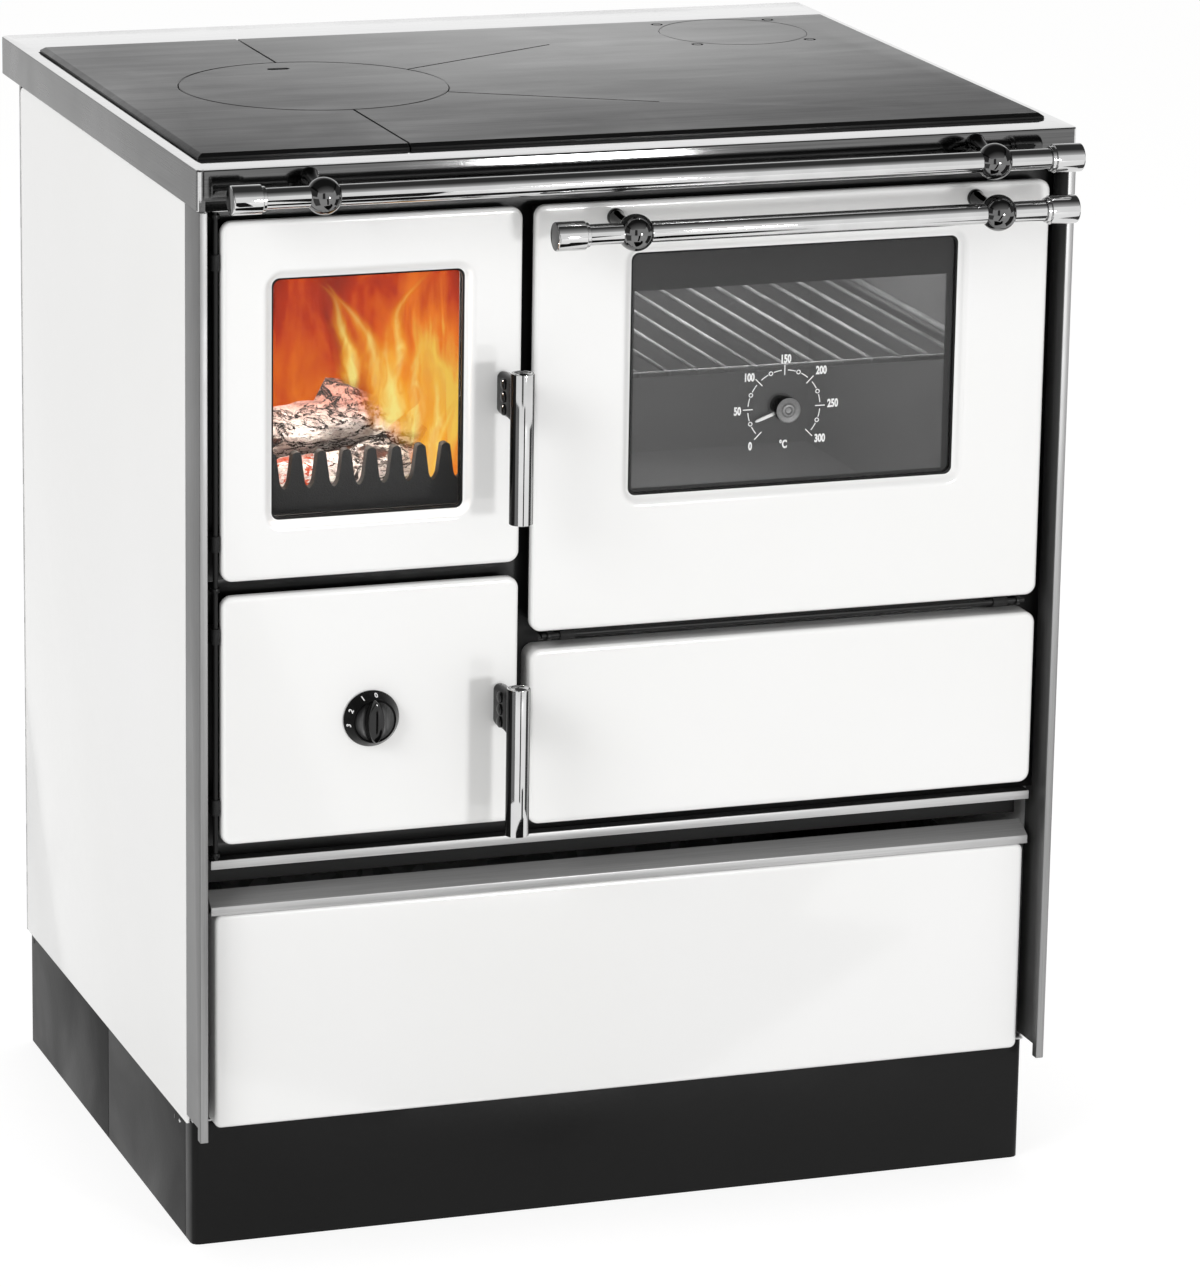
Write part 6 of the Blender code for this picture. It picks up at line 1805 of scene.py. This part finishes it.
def emission(tree, colour, strength):
    return add_node(tree, "ShaderNodeEmission", {"Color": colour, "Strength": strength}).outputs[0]


def show_surface(tree, factor, first, second):
    """Two shaders mixed and put out as the material's surface."""
    both = add_node(tree, "ShaderNodeMixShader", {0: factor, 1: first, 2: second}).outputs[0]
    add_node(tree, "ShaderNodeOutputMaterial", {"Surface": both})


def seen_directly(tree):
    """One where a ray comes from the camera, a mirror or a pane, and nothing elsewhere."""
    light = add_node(tree, "ShaderNodeLightPath").outputs
    seen = maths(tree, "MAXIMUM", light["Is Camera Ray"], light["Is Glossy Ray"])
    return maths(tree, "MAXIMUM", seen, light["Is Transmission Ray"])


def stage_sheet(name, corners, material, outward):
    """Flat object of the studio, which is no part of the stove."""
    bm = bmesh.new()
    add_face(bm, corners)
    mesh = new_mesh(bm, name, outward)
    mesh.materials.append(material)
    made = new_object(name, mesh)
    return made


def studio_floor():
    material = empty_material("pale floor")
    tree = material.node_tree
    matt = add_node(tree, "ShaderNodeBsdfDiffuse", {"Color": grey(150)}).outputs[0]
    pale = add_node(tree, "ShaderNodeBsdfDiffuse", {"Color": grey(225)}).outputs[0]
    shown = add_node(tree, "ShaderNodeAddShader", {0: matt, 1: emission(tree, WHITE, 0.79)}).outputs[0]
    show_surface(tree, seen_directly(tree), pale, shown)
    stage_sheet("floor", flat_card((-FLOOR, FLOOR), (-FLOOR, FLOOR), 0), material, outward=True)


def studio_card(name, corners, darkness=1.0, fade=None):
    """Dark card that only polished metal sees, outside the picture; a fade pales it away from its middle."""
    material = empty_material(name)
    tree = material.node_tree
    if fade:
        place = add_node(tree, "ShaderNodeTexCoord").outputs["Object"]
        away = maths(tree, "ABSOLUTE", minus(tree, axes_of(tree, place)["Y"], fade[0]))
        darkness = span(tree, away, fade[1], fade[2], darkness, fade[3])
    clear = add_node(tree, "ShaderNodeBsdfTransparent").outputs[0]
    show_surface(tree, darkness, clear, emission(tree, grey(28), 1.0))
    card = stage_sheet(name, corners, material, outward=False)
    card.visible_camera = False
    card.visible_diffuse = False
    card.visible_shadow = False
    card.visible_transmission = False


def floor_sector(centre, near, far, start, end):
    """Part of a ring on the floor; angles are from straight ahead towards the right, in degrees."""
    steps = 24
    points = []
    for radius, order in ((near, range(steps + 1)), (far, range(steps, -1, -1))):
        for k in order:
            a = math.radians(start + (end - start) * k / steps)
            points.append((centre[0] + radius * math.sin(a), centre[1] - radius * math.cos(a), 0.01))
    return points


def studio_world():
    world = bpy.data.worlds.new("studio")
    world.use_nodes = True
    scene.world = world
    tree = world.node_tree
    tree.nodes.clear()
    white = add_node(tree, "ShaderNodeBackground", {"Color": WHITE, "Strength": 1.0}).outputs[0]
    soft = add_node(tree, "ShaderNodeBackground", {"Color": WARM_WHITE, "Strength": 0.62}).outputs[0]
    both = add_node(tree, "ShaderNodeMixShader", {0: seen_directly(tree), 1: soft, 2: white}).outputs[0]
    add_node(tree, "ShaderNodeOutputWorld", {"Surface": both})


def new_lamp(name, kind, place, watts, **settings):
    lamp = bpy.data.lights.new(name, kind)
    lamp.energy = watts
    for setting, value in settings.items():
        setattr(lamp, setting, value)
    made = new_object(name, lamp)
    made.location = place
    return made


def soft_lamp(name, place, target, size, watts, shiny=False):
    """Round lamp turned to a target; only a shiny one shows in polished metal."""
    made = new_lamp(name, "AREA", place, watts, shape="DISK", size=size)
    made.visible_camera = False
    made.visible_glossy = shiny
    made.rotation_euler = (Vector(target) - Vector(place)).to_track_quat("-Z", "Y").to_euler()


def studio_camera():
    """Camera of the photograph, without shift or depth of field."""
    level = Vector((math.cos(CAMERA_AZIMUTH), -math.sin(CAMERA_AZIMUTH), 0))
    ahead = Vector((math.sin(CAMERA_AZIMUTH), math.cos(CAMERA_AZIMUTH), 0))
    forward = ahead * math.cos(CAMERA_TILT) - Vector((0, 0, math.sin(CAMERA_TILT)))
    upward = level.cross(forward)
    right = level * math.cos(CAMERA_ROLL) + upward * math.sin(CAMERA_ROLL)
    up = upward * math.cos(CAMERA_ROLL) - level * math.sin(CAMERA_ROLL)
    data = bpy.data.cameras.new("camera")
    data.sensor_fit = "AUTO"
    data.sensor_width = 36.0
    data.lens = CAMERA_FOCAL_PIXELS * data.sensor_width / PICTURE_HEIGHT
    data.clip_end = 60.0
    made = new_object("camera", data)
    turn = Matrix((right, up, -forward)).transposed()
    made.matrix_world = Matrix.Translation(CAMERA_PLACE) @ turn.to_4x4()
    scene.camera = made


studio_floor()
studio_world()
studio_card("card_near", floor_sector(RAIL_FOOT, 0.02, 0.66, -40, 46))
studio_card("card_beyond", floor_sector(RAIL_FOOT, 0.66, 0.9, 18, 36))
studio_card("card_gap", floor_sector(LEVER_FOOT, 0.86, 5.6, 0, 11))
studio_card("card_side", floor_sector(LEVER_FOOT, 0.86, 5.6, -84, -46), 0.82)
studio_card("card_edge", floor_sector(LEVER_FOOT, 0.86, 3.4, 60, 92), 0.95)
studio_card("card_behind", upright((-2.7, -6), (-0.95, -6), 0.02, 3.8), 0.9)
studio_card("card_over", flat_card((-5.0, 5.0), (-5.6, 7.0), 3.9), 0.97, (0.5, 1.6, 6.2, 0.3))
studio_card("card_left", upright((-3.6, -2.6), (-3.6, 3.0), 0.95, 3.8), 0.9)
studio_card("card_right", upright((3.6, -2.0), (3.6, 3.0), 0.95, 3.8), 0.9)
soft_lamp("key lamp", (1.15, -4.0, 0.75), (-0.1, 0, 0.50), 0.45, 40, shiny=True)
soft_lamp("left lamp", (-3.4, -2.3, 2.4), (0, 0, 0.45), 2.0, 56)
soft_lamp("top lamp", (0.2, 0.6, 3.4), (0, 0, 0.8), 2.2, 26)
soft_lamp("oven lamp", (0.12, -0.06, 0.784), (0.12, -0.06, 0.50), 0.26, 3.2)
new_lamp("fire lamp", "POINT", FIRE_LAMP, 2.9, shadow_soft_size=0.02, color=(1.0, 0.91, 0.82))
studio_camera()

scene.view_settings.view_transform = "Standard"
